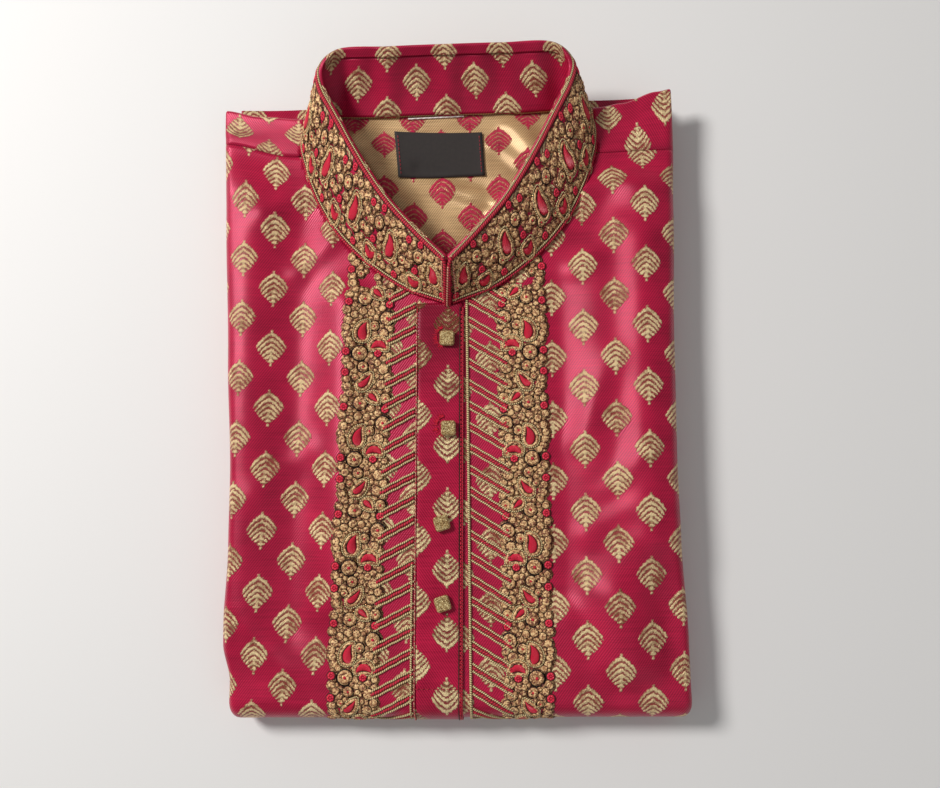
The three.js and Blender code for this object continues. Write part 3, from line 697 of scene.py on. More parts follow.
def layered(name, node, half, y0, y1, low, high, layers, ceiling):
    """One length of cloth folded to and fro: layers lying on each other, with round folds."""
    pitch = (high - low - LAYER) / (layers - 1)
    radius = pitch / 2
    path = []
    for layer in range(layers):
        z = low + LAYER + layer * pitch
        way = 1 if layer % 2 == 0 else -1
        reach = half - radius - 0.5 * (layer % 3)
        path += [(way * x, z) for x in np.linspace(-reach, reach, 34)]
        if layer < layers - 1:
            turns = np.linspace(-math.pi / 2, math.pi / 2, 7)[1:-1]
            path += [(way * (reach + radius * math.cos(a)), z + radius + radius * math.sin(a)) for a in turns]
    path = np.array(path)
    lengths = run_lengths(path)
    bm = flat_sheet([[(at, y0 + (y1 - y0) * share, 0) for at in lengths] for share in np.linspace(0, 1, 41)])

    def place(x, y, z):
        px, pz = (np.interp(x, lengths, path[:, k]) for k in range(2))
        droop = 0.5 * np.sin(px * 0.09 + y * 0.05) * step(y, y1 - 30, y1)
        pz = low + (pz - low) * (ceiling(px, y) - low) / (high - low)
        return np.stack([px, y + droop, pz], -1)

    piece = make_piece(name, bm, place, (brocade, brocade_back), lambda x, y: (x, y))
    thicken(piece, LAYER)
    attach(piece, "root")
    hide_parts(node)
    return piece, (lengths[-1] * MM, (y1 - y0) * MM)


side_folds, side_folds_cut = layered(
    "folded_in_sides", "folded_sides", 115.5, -149, 145, 13.8, 18.0, 3,
    lambda x, y: 18.0 - 1.12 * hollow_depth(x, y),
)
skirt_folds, skirt_folds_cut = layered(
    "turned_up_skirt", "folded_skirt", 115.5, -162, 147, 1.9, 9.7, 5,
    lambda x, y: 9.7 - 1.7 * step(y, 126, 139),
)

SLEEVE_LOW, SLEEVE_HIGH = 10.3, 13.2
SLEEVE_INNER, SLEEVE_OUTER, SLEEVE_TOP, SLEEVE_BOTTOM = 2.5, 119.5, 161, -158
SLEEVE_WALL = 1.15


def pressed_sleeve(name, node, side):
    """A sleeve pressed flat: a tube with a round fold along each edge."""
    radius = (SLEEVE_HIGH - SLEEVE_LOW) / 2
    middle = (SLEEVE_HIGH + SLEEVE_LOW) / 2
    inner, outer = SLEEVE_INNER + radius, SLEEVE_OUTER - radius
    flat = np.linspace(inner, outer, 30)
    turn = np.linspace(-math.pi / 2, math.pi / 2, 9)[1:-1]
    loop = [(x, SLEEVE_LOW) for x in flat]
    loop += [(outer + radius * math.cos(a), middle + radius * math.sin(a)) for a in turn]
    loop += [(x, SLEEVE_HIGH) for x in flat[::-1]]
    loop += [(inner - radius * math.cos(a), middle - radius * math.sin(a)) for a in turn]
    loop = np.array(loop + loop[:1])
    lengths = run_lengths(loop)
    around = lengths if side > 0 else lengths[::-1]
    bm = flat_sheet([[(at, y, 0) for at in around] for y in np.linspace(SLEEVE_TOP, SLEEVE_BOTTOM, 60)])

    def place(x, y, z):
        px, pz = (np.interp(x, lengths, loop[:, k]) for k in range(2))
        slack = -1.2 * np.abs(np.sin(px * 0.045 + 0.6)) * step(y, SLEEVE_TOP - 25, SLEEVE_TOP)
        return np.stack([side * px, y + slack, pz], -1)

    piece = make_piece(name, bm, place, (brocade, brocade_back), lambda x, y: (x + 8, y - 156))
    weld = piece.modifiers.new("sleeve seam", "WELD")
    weld.merge_threshold = 0.01 * MM
    thicken(piece, SLEEVE_WALL)
    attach(piece, "root")
    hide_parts(node)
    return piece, (lengths[-1] * MM, (SLEEVE_TOP - SLEEVE_BOTTOM) * MM)


left_sleeve, sleeve_cut = pressed_sleeve("left_sleeve", "sleeve_left", -1)
right_sleeve, _ = pressed_sleeve("right_sleeve", "sleeve_right", 1)

# ---------------------------------------------------------------------------------------------
# The collar. A stand-up band of the brocade, doubled: the outer cloth is turned over its top
# edge and sewn down inside onto the facing, whose leaves show at the back of the neck.
COLLAR_TOP = (
    (0, 63.8), (16.4, 80.4), (33, 100), (55, 137.5), (68.6, 170), (60.5, 180), (30, 181.4), (0, 181.6),
)
COLLAR_TOP_Z = 43.6
COLLAR_WALL, TURN_OVER, BULGE = 1.1, 5.5, 1.6
ROUND_TOP = COLLAR_WALL + 0.15
top_ring = smooth_ring(COLLAR_TOP, [COLLAR_TOP_Z] * len(COLLAR_TOP))
RING_LENGTH = float(seam_ring[1][-1])


def on_both_rings(share):
    share = np.clip(share, 0, 1)
    return on_ring(seam_ring, share), on_ring(top_ring, share)


def collar_frame(share):
    """At a share of the way round: the seam, the top edge, outwards, and the band's height."""
    share = np.clip(share, 0, 1)
    low, high = on_both_rings(share)
    ahead, behind = on_both_rings(share + 0.008), on_both_rings(share - 0.008)
    out = np.cross(high - low, (ahead[0] + ahead[1]) - (behind[0] + behind[1]))
    out /= np.linalg.norm(out, axis=1)[:, None]
    return low, high, out, np.linalg.norm(high - low, axis=1)


def collar_waves(share, up):
    """Soft upright folds, where the band isn't held by its seams."""
    angle = share * 2 * math.pi
    wave = 0.45 * np.sin(angle * 11 + 0.7) + 0.3 * np.sin(angle * 17 + 2.1) + 0.42 * np.sin(angle * 25 + 0.9)
    return wave * 1.6 * np.sin(np.clip(up, 0, 1) * math.pi) ** 0.7 * step(np.abs(share - 0.5), 0.42, 0.06)


def collar_point(x, y, out=0.0, waves=1.0):
    """On the band's outer face: x round it from the centre back, y up it, in millimetres."""
    share = 0.5 + x / RING_LENGTH
    low, high, outwards, height = collar_frame(share)
    up = (y / height)[:, None]
    bow = BULGE * 4 * up * (1 - up) + waves * collar_waves(share, up[:, 0])[:, None]
    return low + (high - low) * up + outwards * (bow + np.asarray(out).reshape(-1, 1))


def collar_height(x):
    return collar_frame(0.5 + np.atleast_1d(x) / RING_LENGTH)[3]


COLLAR_COLUMNS = 250
around_neck = np.linspace(-RING_LENGTH / 2, RING_LENGTH / 2, COLLAR_COLUMNS + 1)


def band_point(x, y, z):
    """The outer cloth: y runs up the outside, over the top edge and down the inside."""
    straight = collar_height(x) - ROUND_TOP
    over = np.clip((y - straight) / (math.pi * ROUND_TOP), 0, 1) * math.pi
    inside_run = np.maximum(y - straight - math.pi * ROUND_TOP, 0)
    up = np.minimum(y, straight) + ROUND_TOP * np.sin(over) - inside_run
    return collar_point(x, up, -ROUND_TOP * (1 - np.cos(over)))


band_edge = list(zip(around_neck[::-1], collar_height(around_neck[::-1]) - ROUND_TOP))
over_edge = math.pi * ROUND_TOP + TURN_OVER - COLLAR_WALL
band_bm = flat_sheet(
    [[(x, share * edge, 0) for x, edge in band_edge] for share in np.linspace(0, 1, 22)]
    + [[(x, edge + share * over_edge, 0) for x, edge in band_edge] for share in np.linspace(0, 1, 15)[1:]]
)


def band_weave(x, y):
    """Half a drop on from the facing, so that the leaves' feet show on the turned-over strip."""
    height = collar_height(x)
    seen = np.where(y > height, 2 * height + 2.2 - y, y)
    return x + 0.5 + COLUMN, (seen - 34.5) * (ROW / 30.5) + ROW / 2


collar_outer = make_piece("collar_outer", band_bm, band_point, (brocade, brocade_back), band_weave)
thicken(collar_outer, 1.0)
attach(collar_outer, "root")
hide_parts("collar_band")

FACING_DEPTH = 1.9


def facing_point(x, y, z):
    return collar_point(x, y, -FACING_DEPTH)


FACING_LOW = 1.0
facing_edge = list(zip(around_neck * 0.99, collar_height(around_neck) - TURN_OVER - 0.4))
facing_bm = flat_sheet([
    [(x, FACING_LOW + share * (edge - FACING_LOW), 0) for x, edge in facing_edge]
    for share in np.linspace(0, 1, 22)
])


def facing_weave(x, y):
    return (x + 0.25) * (COLUMN / 17.0), (y - 2.4) * (ROW / 32.8)


collar_inner = make_piece("collar_inner", facing_bm, facing_point, (brocade, brocade_back), facing_weave)
thicken(collar_inner, 1.0)
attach(collar_inner, "root")
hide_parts("collar_facing")

# ---------------------------------------------------------------------------------------------
# The placket. A long narrow strip of the brocade over the centre front, leaves upside down,
# edge-stitched down its left side and closed off with a cross seam near the bottom.
PLACKET_HALF, PLACKET_TOP, PLACKET_END = 12.9, 43, -195
PROUD = 1.3


def centre_x(y):
    return -3 - 4.8 * (SEAM_Y - y) / FRONT_TOP


def on_front(proud):
    return lambda x, y, z: front_point(x, y, proud + z)


placket_bm = flat_sheet([
    [
        (centre_x(y) + PLACKET_HALF * side, y, -1.0 * abs(side) ** 14 + 0.22 * math.sin(y * 0.11 + side * 1.5))
        for side in np.linspace(-1, 1, 19)
    ]
    for y in np.linspace(PLACKET_END, PLACKET_TOP, 120)
])
cut_away(placket_bm, lambda x, y: inside(neck_cut, x, y), neck_cut)


def placket_weave(x, y):
    return x - centre_x(y) - 4.6, -(y + 1.5) * (ROW / 33.2)


# The placket's brocade: the same cloth with a darker painted shade on its leaves and gaps, and painted shade
# over its top, under the collar.
brocade_shaded = leaf_cloth(
    "crimson brocade, with painted shade at the top", CRIMSON, (GOLD[0], colour(124, 78, 48)), colour(136, 48, 50),
    vein_share=0.66, metal=0.2, ground_metal=0.0, painted_shade_start=-4.0, Specular_IOR_Level=0.5,
    Specular_Tint=colour(255, 190, 205),
)
placket = make_piece(
    "placket_strip", placket_bm, on_front(PROUD), (brocade_shaded, brocade_back), placket_weave
)
thicken(placket, 0.9)
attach(placket, "root")
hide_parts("placket")

# ---------------------------------------------------------------------------------------------
# The embroidered borders. Machine embroidery in antique gold thread on both sides of the
# placket: curled leaves with red satin hearts, scallops, rosettes and red knots, all edged in
# dark thread, and slanting bars of twisted cord and red rope from there to the placket.
REPEAT = 57.8
CORD_LIFT = 0.35
ZARI, DARK, SATIN, TWISTED, ROPE, KNOT, PALE, WHITE, GROUND = range(9)
stitch_shapes = {}


def new_stitching():
    """Stitches to come. Each of their points knows its way along, up and round its thread."""
    bm = bmesh.new()
    bm.verts.layers.float_vector.new("thread")
    return bm


def stitch_shape(kind, rows, columns):
    """A small shape to lay again and again: its mesh, and the place of each of its corners."""
    if (kind, rows, columns) not in stitch_shapes:
        bm = new_stitching()
        if kind == "round":
            bmesh.ops.create_uvsphere(bm, u_segments=columns, v_segments=rows, radius=1)
        else:
            row, column = np.mgrid[0:rows + 1, 0:columns + 1]
            spread_grid(bm, np.stack([row, column, 0 * row], -1))
        places = np.array([v.co[:] for v in bm.verts])
        mesh = bpy.data.meshes.new("stitch")
        bm.to_mesh(mesh)
        bm.free()
        stitch_shapes[kind, rows, columns] = mesh, places
    return stitch_shapes[kind, rows, columns]


def lay_stitch(bm, mesh, points, threads, finish):
    mesh.vertices.foreach_set("co", points.astype(np.float32).ravel())
    mesh.attributes["thread"].data.foreach_set("vector", threads.astype(np.float32).ravel())
    mesh.polygons.foreach_set("material_index", np.full(len(mesh.polygons), finish, np.int32))
    bm.from_mesh(mesh)


def sew(bm, path, half_width, height, finish, lift=0.2, sides=6, closed=False):
    """Lays a raised line of thread along a flat path, round in section."""
    path = np.asarray(path, float)
    if closed:
        path = np.vstack([path, path[:1]])
    run = np.gradient(path, axis=0)
    if closed:
        run[0] = run[-1] = path[1] - path[-2]
    run /= np.maximum(np.linalg.norm(run, axis=1), 1e-9)[:, None]
    half_width = np.broadcast_to(half_width, len(path))
    lengths = run_lengths(path)
    mesh, cells = stitch_shape("line", len(path) - 1, sides)
    row, column = cells[:, 0].round().astype(int), cells[:, 1].round().astype(int)
    angle = (column % sides) / sides * 2 * math.pi - math.pi / 2
    side = np.cos(angle) * half_width[row]
    points = np.stack([
        path[row, 0] - run[row, 1] * side, path[row, 1] + run[row, 0] * side, lift + np.sin(angle) * height,
    ], -1)
    threads = np.stack([lengths[row], np.maximum(np.sin(angle), 0), column / sides], -1)
    lay_stitch(bm, mesh, points, threads, finish)


def dome(bm, x, y, radius, height, finish, lift=0.15, around=12, squash=1.0, turn=0.0, rows=6, crown=None):
    """A low round of thread, padded so that its top is nearly flat."""
    mesh, places = stitch_shape("round", rows, around)
    px, py, pz = (places * (radius, radius * squash, 1)).T
    pz = np.sign(pz) * np.abs(pz) ** 0.6 * height
    cos, sin = math.cos(turn), math.sin(turn)
    points = np.stack([x + px * cos - py * sin, y + px * sin + py * cos, lift + pz], -1)
    crowns = np.maximum(places[:, 2], 0) if crown is None else crown + 0 * px
    lay_stitch(bm, mesh, points, np.stack([px, crowns, 0 * px], -1), finish)


def sew_up(bm):
    """Closes every line of thread along its seam and at its ends."""
    bmesh.ops.remove_doubles(bm, verts=bm.verts, dist=0.003)
    bmesh.ops.holes_fill(bm, edges=[e for e in bm.edges if e.is_boundary], sides=12)


def ring_of(x, y, radius, count):
    angle = np.linspace(0, 2 * math.pi, count + 1)[:-1]
    return np.stack([x + radius * np.cos(angle), y + radius * np.sin(angle)], -1)


def knot(bm, x, y, radius=2.3):
    """A red knot: a ring of thread round a small raised middle, with dark thread about it."""
    sew(bm, ring_of(x, y, radius, 12), 0.28, 0.4, DARK, 0.3, sides=4, closed=True)
    sew(bm, ring_of(x, y, radius * 0.62, 12), radius * 0.33, 0.5, KNOT, 0.5, closed=True)
    dome(bm, x, y, radius * 0.3, 0.5, KNOT, 0.55, around=8, rows=4)


def scallop(bm, x, y, radius, turn=0.0):
    """A gold lobe in a thin rim of dark thread, on ground stitches that close the gaps."""
    around, rows = (12, 5) if radius > 1.5 else (8, 4)
    dome(bm, x, y, radius * 1.3 + 0.6, 0.3, GROUND, 0.24, around=8, rows=2, crown=1.0)
    dome(bm, x, y, radius * 1.05, 0.1, DARK, 0.42, around=around, rows=2)
    dome(bm, x, y, radius * 0.98, 0.26, ZARI, 0.44, squash=0.97, turn=turn, around=around, rows=rows)


SMALLEST_LOBE = 0.62


def filling(hearts, curls, scallops, knots, low, high, period, largest=2.2):
    """Small lobes that fill a chart between its figures, each as large as its gap, largest first."""
    taken = [(a, b, r * 1.04) for a, b, r in scallops] + [(c[0], c[1], c[2]) for c in curls]
    taken += [(a, b, 2.6) for a, b in knots]
    for foot, tip, radius, bulge, pointed in hearts:
        middle, half = heart(foot, tip, radius, bulge, pointed)
        taken += [(a, b, r + 2.3) for (a, b), r in zip(middle, half)]
    across, up = (np.arange(low[k], high[k], 0.4) for k in range(2))
    spots = np.stack(np.meshgrid(across, up), -1).reshape(-1, 2)
    room = np.full(len(spots), largest * 1.2)

    def keep_off(a, b, radius):
        for times in (-1, 0, 1):
            off = spots - (a + times * period[0], b + times * period[1])
            np.minimum(room, np.hypot(*off.T) - radius, out=room)

    for figure in taken:
        keep_off(*figure)
    lobes = []
    while room.max() > SMALLEST_LOBE:
        best = int(room.argmax())
        radius = min(float(room[best]), largest)
        lobes.append((*spots[best], radius * 1.1))
        keep_off(*spots[best], radius)
    return lobes


def curl(bm, x, y, radius, start, turns=1.25):
    """A spiral of gold thread that ends in a red eye."""
    share = np.linspace(0, 1, int(20 * abs(turns)) + 8)
    angle = start + share * turns * 2 * math.pi
    reach = radius * (0.76 - 0.5 * share)
    path = np.stack([x + reach * np.cos(angle), y + reach * np.sin(angle)], -1)
    width = radius * 0.23 * np.sqrt(np.clip(np.minimum((share + 0.04) * 5, (1.06 - share) * 5), 0, 1))
    dome(bm, x, y, radius * 1.2 + 0.5, 0.3, GROUND, 0.12, around=10, rows=2, crown=1.0)
    dome(bm, x, y, radius * 1.04, 0.12, DARK, 0.3, around=16, rows=2)
    dome(bm, x, y, radius * 0.95, 0.24, ZARI, 0.32, around=16, rows=3)
    sew(bm, path, width, 0.4, ZARI, 0.45, sides=7)
    dome(bm, x, y, radius * 0.2, 0.6, SATIN, 0.5, around=8, rows=4)


def heart(foot, tip, radius, bulge, pointed=True):
    """The middle line and half widths of a curled leaf, round at its foot and pointed at its tip."""
    share = np.linspace(0, 1, 13)
    foot, tip = np.array(foot, float), np.array(tip, float)
    middle = foot + (tip - foot) * share[:, None] + np.array(bulge) * (1 - (2 * share - 1) ** 2)[:, None]
    fullness = np.sin(math.pi * share ** (0.62 if pointed else 1.0)) ** (0.75 if pointed else 0.6)
    return middle, np.maximum(radius * fullness, 0.14)


def round_outline(middle, half, gap):
    """A closed line round a curled leaf, a gap away from it."""
    run = np.gradient(middle, axis=0)
    run /= np.linalg.norm(run, axis=1)[:, None]
    side = np.stack([-run[:, 1], run[:, 0]], -1) * (half + gap)[:, None]
    foot, tip = middle[0] - run[0] * gap * 0.8, middle[-1] + run[-1] * gap * 1.1
    loop = np.vstack([foot, middle[1:-1] + side[1:-1], tip, (middle[1:-1] - side[1:-1])[::-1], foot])
    lengths = run_lengths(loop)
    even = np.linspace(0, lengths[-1], max(int(lengths[-1] / 1.1), 12) + 1)[:-1]
    smooth = np.stack([np.interp(even, lengths, loop[:, k]) for k in range(2)], -1)
    for _ in range(2):
        smooth = (np.roll(smooth, 1, axis=0) + 2 * smooth + np.roll(smooth, -1, axis=0)) / 4
    return smooth


def curled_leaf(bm, at, foot, tip, radius, bulge, pointed=True, band=0.85):
    """A red satin heart inside a band of gold thread and a line of twisted cord."""
    middle, half = heart(foot, tip, radius, bulge, pointed)
    lines = [round_outline(middle, half, gap) for gap in (band * 2 + 0.75, band + 0.3, 0.12)]
    sew(bm, at(middle), half + band * 2 + 1.9, 0.2, GROUND, 0.08)
    sew(bm, at(lines[0]), 0.42, 0.75, TWISTED, 0.25, sides=5, closed=True)
    sew(bm, at(lines[1]), band, 0.95, ZARI, 0.3, closed=True)
    sew(bm, at(lines[2]), 0.24, 0.5, DARK, 0.3, sides=4, closed=True)
    sew(bm, at(middle), half, 0.8, SATIN, 0.25, sides=10)


# One repeat of the scrollwork: distance out from its own inner line, and distance up.
# A leaf has its foot, its tip, its radius and how far its middle bows; a curl its place, its
# radius, where it starts and its turns.
HEARTS = (
    ((11.1, 23.2), (10.3, 33.2), 2.6, (1.9, 0), True), ((13.2, -0.7), (7.0, 4.2), 2.0, (0.3, -2.3), True),
    ((7.3, -6.4), (2.6, -10.8), 1.6, (0.5, 0.4), True), ((7.4, 18.4), (-0.8, 18.5), 2.1, (0.2, 2.9), False),
)
CURLS = (
    (6.2, 31.0, 3.1, 2.6, -1.1), (-0.7, 35.3, 4.4, -2.2, 1.3), (13.4, 15.8, 4.6, 3.6, -1.4),
    (11.2, 8.4, 3.2, 0.4, 1.1), (11.8, -11.6, 4.2, 0.9, 1.1), (-1.5, -9.2, 3.3, 2.6, -1.2),
    (15.0, 2.6, 2.2, 0.5, 1.0),
)
SCALLOPS = (
    (20.8, 40.0, 2.1), (8.0, 38.6, 2.2), (12.5, 39.2, 2.3), (16.9, 37.4, 2.2), (19.7, 33.8, 2.3),
    (20.9, 30.0, 2.1), (20.5, 26.5, 2.2), (19.3, 23.0, 2.1), (17.3, 20.8, 1.8), (0.9, 26.8, 2.8),
    (5.6, 26.3, 1.7), (0.2, 7.2, 3.1), (3.4, 10.6, 2.0), (0.5, 12.8, 1.9), (6.6, 11.2, 1.6),
    (0.9, -1.4, 2.8), (5.7, -14.6, 2.1), (20.1, 12.0, 2.0), (17.9, 8.9, 2.2), (19.4, 1.6, 2.1),
    (19.0, -2.4, 2.2), (17.4, -6.0, 2.1), (19.9, -9.3, 2.1), (17.0, -15.0, 1.6), (5.4, 0.4, 1.6),
    (3.4, 22.9, 1.5), (6.6, 21.9, 1.3), (0.2, 22.6, 1.3), (16.9, 33.0, 1.2), (3.6, 3.4, 1.3),
)
KNOTS = ((20.6, 16.9), (20.5, 5.4), (20.3, -13.4), (3.6, 15.9), (-1.7, -15.0))
SCALLOPS += tuple(filling(HEARTS, CURLS, SCALLOPS, KNOTS, (-2.6, -17.4), (20.2, -17.4 + REPEAT), (0, REPEAT)))


def work_chart(bm, chart, at, free, way, lobe=1.0, band=0.85):
    """Works a chart's figures wherever one is free: its leaves, its curls, its lobes, then its knots.

    `at` turns the chart's places into the cloth's x and y, and `way` is -1 on a mirrored side.
    """
    hearts, curls, scallops, knots = chart
    for foot, tip, radius, bulge, pointed in hearts:
        if free(foot, 3) and free(tip, 3):
            curled_leaf(bm, at, foot, tip, radius, bulge, pointed, band)
    for *place, radius, start, turns in curls:
        if free(place):
            curl(bm, *at([place])[0], radius, start if way > 0 else math.pi - start, turns * way)
    for *place, radius in scallops:
        if free(place):
            scallop(bm, *at([place])[0], radius * lobe, RNG.uniform(0, math.pi))
    for place in knots:
        if free(place):
            knot(bm, *at([place])[0])


def scrollwork(bm, at, way, lowest, highest, allowed):
    """Repeats the scrollwork along a border."""
    first, last = math.floor((lowest - 40) / REPEAT), math.ceil((highest + 20) / REPEAT)
    for number in range(first, last + 1):
        def on_cloth(places):
            return at(np.asarray(places, float) + (0, number * REPEAT))

        def free(place, beyond=0):
            return allowed(*on_cloth([place])[0])

        work_chart(bm, (HEARTS, CURLS, SCALLOPS, KNOTS), on_cloth, free, way)


BAR_LINES = ((1.95, TWISTED, 0.66, 0.7), (0, ROPE, 0.88, 0.75), (-1.95, TWISTED, 0.66, 0.7))


def bars(bm, inner, outer, slope, first, last, pitch, allowed):
    """Slanting bars: twisted cord, red rope, twisted cord, over and over along the border."""
    for start in np.arange(first, last, pitch):
        x = np.linspace(inner(start), outer(start), 28)
        lean = slope + RNG.uniform(-0.02, 0.02)
        for offset, finish, half, height in BAR_LINES:
            y = start + offset + lean * (x - inner(start)) + 0.12 * np.sin(x * 0.9 + start)
            keep = np.array([allowed(a, b) for a, b in zip(x, y)])
            if keep.sum() > 3:
                sew(bm, np.stack([x, y], -1)[keep], half, height, finish, CORD_LIFT)


GRAIN = 1350  # stitches to the metre


def grained(name, bright, middle, dark, rim_shade, rough):
    """Metal thread worked in tiny stitches: each catches the light by itself, as painted glints, with painted
    shade at the rim, where each round of thread falls away.
    """
    finish, shader, drawn_on = new_finish(name)
    crown = drawn_on.attribute("thread").parts()[1]
    bright_cell, rough_cell = drawn_on.flakes(GRAIN)
    light = bright_cell * 1.1 + drawn_on.noise(420) * 0.6 - 0.32
    # Painted shade on the sides of each round, where its crown is low.
    shown = (crown - 0.22).soft(0.3).tint(rim_shade, light.ramp((0.12, dark), (0.5, middle), (0.86, bright)))
    relief = (drawn_on.noise(1700) * 0.5).relief(0.9)
    paint(shader, shown, rough_cell * 0.3 + rough, relief, 0.15)
    return finish


def corded(name, light, dark, pitch, share, metal, rough, slant=1.0):
    """Plied thread: stripes wind round it along its length."""
    finish, shader, drawn_on = new_finish(name)
    along, crown, around = drawn_on.attribute("thread").parts()
    ply = (along / pitch + around * slant) % 1.0
    speck = drawn_on.noise(1900)
    # The crown factor is a painted highlight: the top of each thread is lighter than its sides.
    lit = (share - abs(ply - 0.5)).soft(0.16) * (0.45 + speck) * (crown * 0.7 + 0.4)
    relief = (1 - abs(ply - 0.5) * 2).relief(0.8, 0.35)
    paint(shader, lit.sum("MINIMUM", 1.0).tint(dark, light), rough + speck * 0.2, relief, metal)
    return finish


zari = grained(
    "antique gold thread", colour(252, 212, 154), colour(200, 146, 98), colour(126, 72, 54),
    rim_shade=colour(120, 70, 52), rough=0.45,
)
# The ground stitches are a gold underlay, darker than the lobes as painted shade between them.
ground_stitches = grained(
    "gold ground stitches", colour(250, 204, 144), colour(184, 122, 84), colour(108, 50, 44),
    rim_shade=colour(90, 42, 38), rough=0.5,
)
dark_thread = corded("dark thread", colour(84, 50, 34), colour(36, 18, 16), 1.1, 0.3, 0.0, 0.7)
satin = corded("red satin stitch", colour(246, 48, 78), colour(204, 20, 54), 0.5, 0.36, 0.0, 0.34, slant=0.0)
twisted = corded("twisted gold and black cord", colour(250, 224, 164), colour(62, 36, 26), 1.15, 0.33, 0.1, 0.4)
rope = corded("red rope", colour(218, 32, 62), colour(104, 8, 28), 1.5, 0.34, 0.0, 0.5, slant=1.4)
knotted = corded("red knots", colour(244, 40, 74), colour(164, 14, 44), 1.3, 0.4, 0.0, 0.45, slant=0.5)
pale_thread = corded(
    "pale gold and pink thread", colour(240, 196, 160), colour(196, 70, 84), 1.6, 0.3, 0.1, 0.4
)
white_thread = corded("white thread", colour(244, 236, 230), colour(210, 178, 172), 3.2, 0.42, 0.0, 0.5)
THREADS = (zari, dark_thread, satin, twisted, rope, knotted, pale_thread, white_thread, ground_stitches)


def left_flat(places):
    out, up = np.asarray(places, float).T
    return np.stack([-36 + 0.051 * up - out, up], -1)


def right_flat(places):
    out, up = np.asarray(places, float).T
    return np.stack([31.2 + out, up - 0.8], -1)


BORDER_TOP = 84


def off_the_neck(grow):
    outline = neck_outline(grow, 120)
    return lambda x, y: PLACKET_END + 1 < y < BORDER_TOP and not inside(outline, np.array(x), np.array(y))


def left_of_placket(y):
    return centre_x(y) - PLACKET_HALF - 0.4


def right_of_placket(y):
    return 11.4 - 0.0031 * (43 - y)


bar_room, scroll_room = off_the_neck(0.2), off_the_neck(0.9)
SCROLL_TOP, BAR_TOP, BAR_PITCH = 66, 72, 11.6
# Name, node, side, the border's two lines, how far out its bars reach, their slope and lowest start.
BORDERS = (
    ("left_border", "embroidery_left", -1, left_flat, left_of_placket, -0.6, 0.51, -202.0),
    ("right_border", "embroidery_right", 1, right_flat, right_of_placket, 0.8, -0.62, -199.0),
)
for name, node, way, at, inner, reach, slope, first in BORDERS:
    bm = new_stitching()
    scrollwork(bm, at, way, PLACKET_END, SCROLL_TOP, scroll_room)
    bars(bm, inner, lambda y: at([(reach, y)])[0][0], slope, first, BAR_TOP, BAR_PITCH, bar_room)
    sew_up(bm)
    border = make_piece(name, bm, on_front(0.0), THREADS)
    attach(border, "root")
    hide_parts(node)

# ---------------------------------------------------------------------------------------------
# The placket's stitching: pale dashes down its left edge, a dark line and red overcasting down
# its right edge with a twisted gold cord beside it, the cross seam near its foot, and the pink
# threads of two buttonholes.
trim_bm = new_stitching()
TRIM_TOP, TRIM_END = 40.5, PLACKET_END + 1


def down_the_front(offset, low, high, count):
    y = np.linspace(low, high, count)
    return np.stack([centre_x(y) + offset, y], -1)


def edge_line(offset, half_width, height, finish, lift):
    sew(trim_bm, down_the_front(offset, TRIM_END, TRIM_TOP, 200), half_width, height, finish, lift, sides=5)


def dashes(offset, pitch, length, count, finish, lift):
    for low in np.arange(TRIM_END, TRIM_TOP - 2, pitch):
        sew(trim_bm, down_the_front(offset, low, low + length, count), 0.3, 0.32, finish, lift, sides=5)


edge_line(-PLACKET_HALF + 0.5, 0.42, 0.4, ROPE, PROUD - 0.25)
dashes(-PLACKET_HALF + 0.3, 3.1, 2.3, 5, PALE, PROUD + 0.1)
sew(trim_bm, down_the_front(-PLACKET_HALF - 1.6, TRIM_END, -98, 90), 0.6, 0.6, TWISTED, 0.5)
edge_line(PLACKET_HALF - 1.9, 0.28, 0.3, DARK, PROUD + 0.05)
edge_line(PLACKET_HALF - 0.2, 0.5, 0.5, ROPE, PROUD - 0.3)
dashes(PLACKET_HALF - 1.1, 2.4, 1.7, 4, KNOT, PROUD)
cord_y = np.linspace(TRIM_END, 44.5, 240)
sew(trim_bm, np.stack([right_of_placket(cord_y) - 1.1, cord_y], -1), 0.8, 0.75, TWISTED, 0.55)
CROSS_SEAM_Y = -163.5
for share in np.linspace(-0.86, 0.86, 9):
    middle = centre_x(CROSS_SEAM_Y) + PLACKET_HALF * share
    dash = np.linspace((middle - 1.05, CROSS_SEAM_Y), (middle + 1.05, CROSS_SEAM_Y + 0.1), 4)
    sew(trim_bm, dash, 0.26, 0.3, ROPE, PROUD + 0.05, sides=5)
BUTTONHOLES = ((-2.6, 24.0), (-3.0, -24.6))
HOLE_THREADS = 34
for hole_x, hole_y in BUTTONHOLES:
    for _ in range(HOLE_THREADS):
        turn = RNG.uniform(0.5 * math.pi, 1.5 * math.pi)
        start = np.array([hole_x + 3.4 * math.cos(turn), hole_y + 4.6 * math.sin(turn)])
        reach = RNG.uniform(1.4, 3.2) * np.array([math.cos(turn), math.sin(turn)])
        bend = RNG.uniform(-0.7, 0.7) * np.array([-math.sin(turn), math.cos(turn)])
        share = np.linspace(0, 1, 5)[:, None]
        strand = start + reach * share + bend * share**2
        sew(trim_bm, strand, np.array([0.26, 0.24, 0.2, 0.15, 0.08]), 0.25, SATIN, PROUD + 0.15, sides=4)
sew_up(trim_bm)
placket_trim = make_piece("placket_stitching", trim_bm, on_front(0.0), THREADS)
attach(placket_trim, "root")

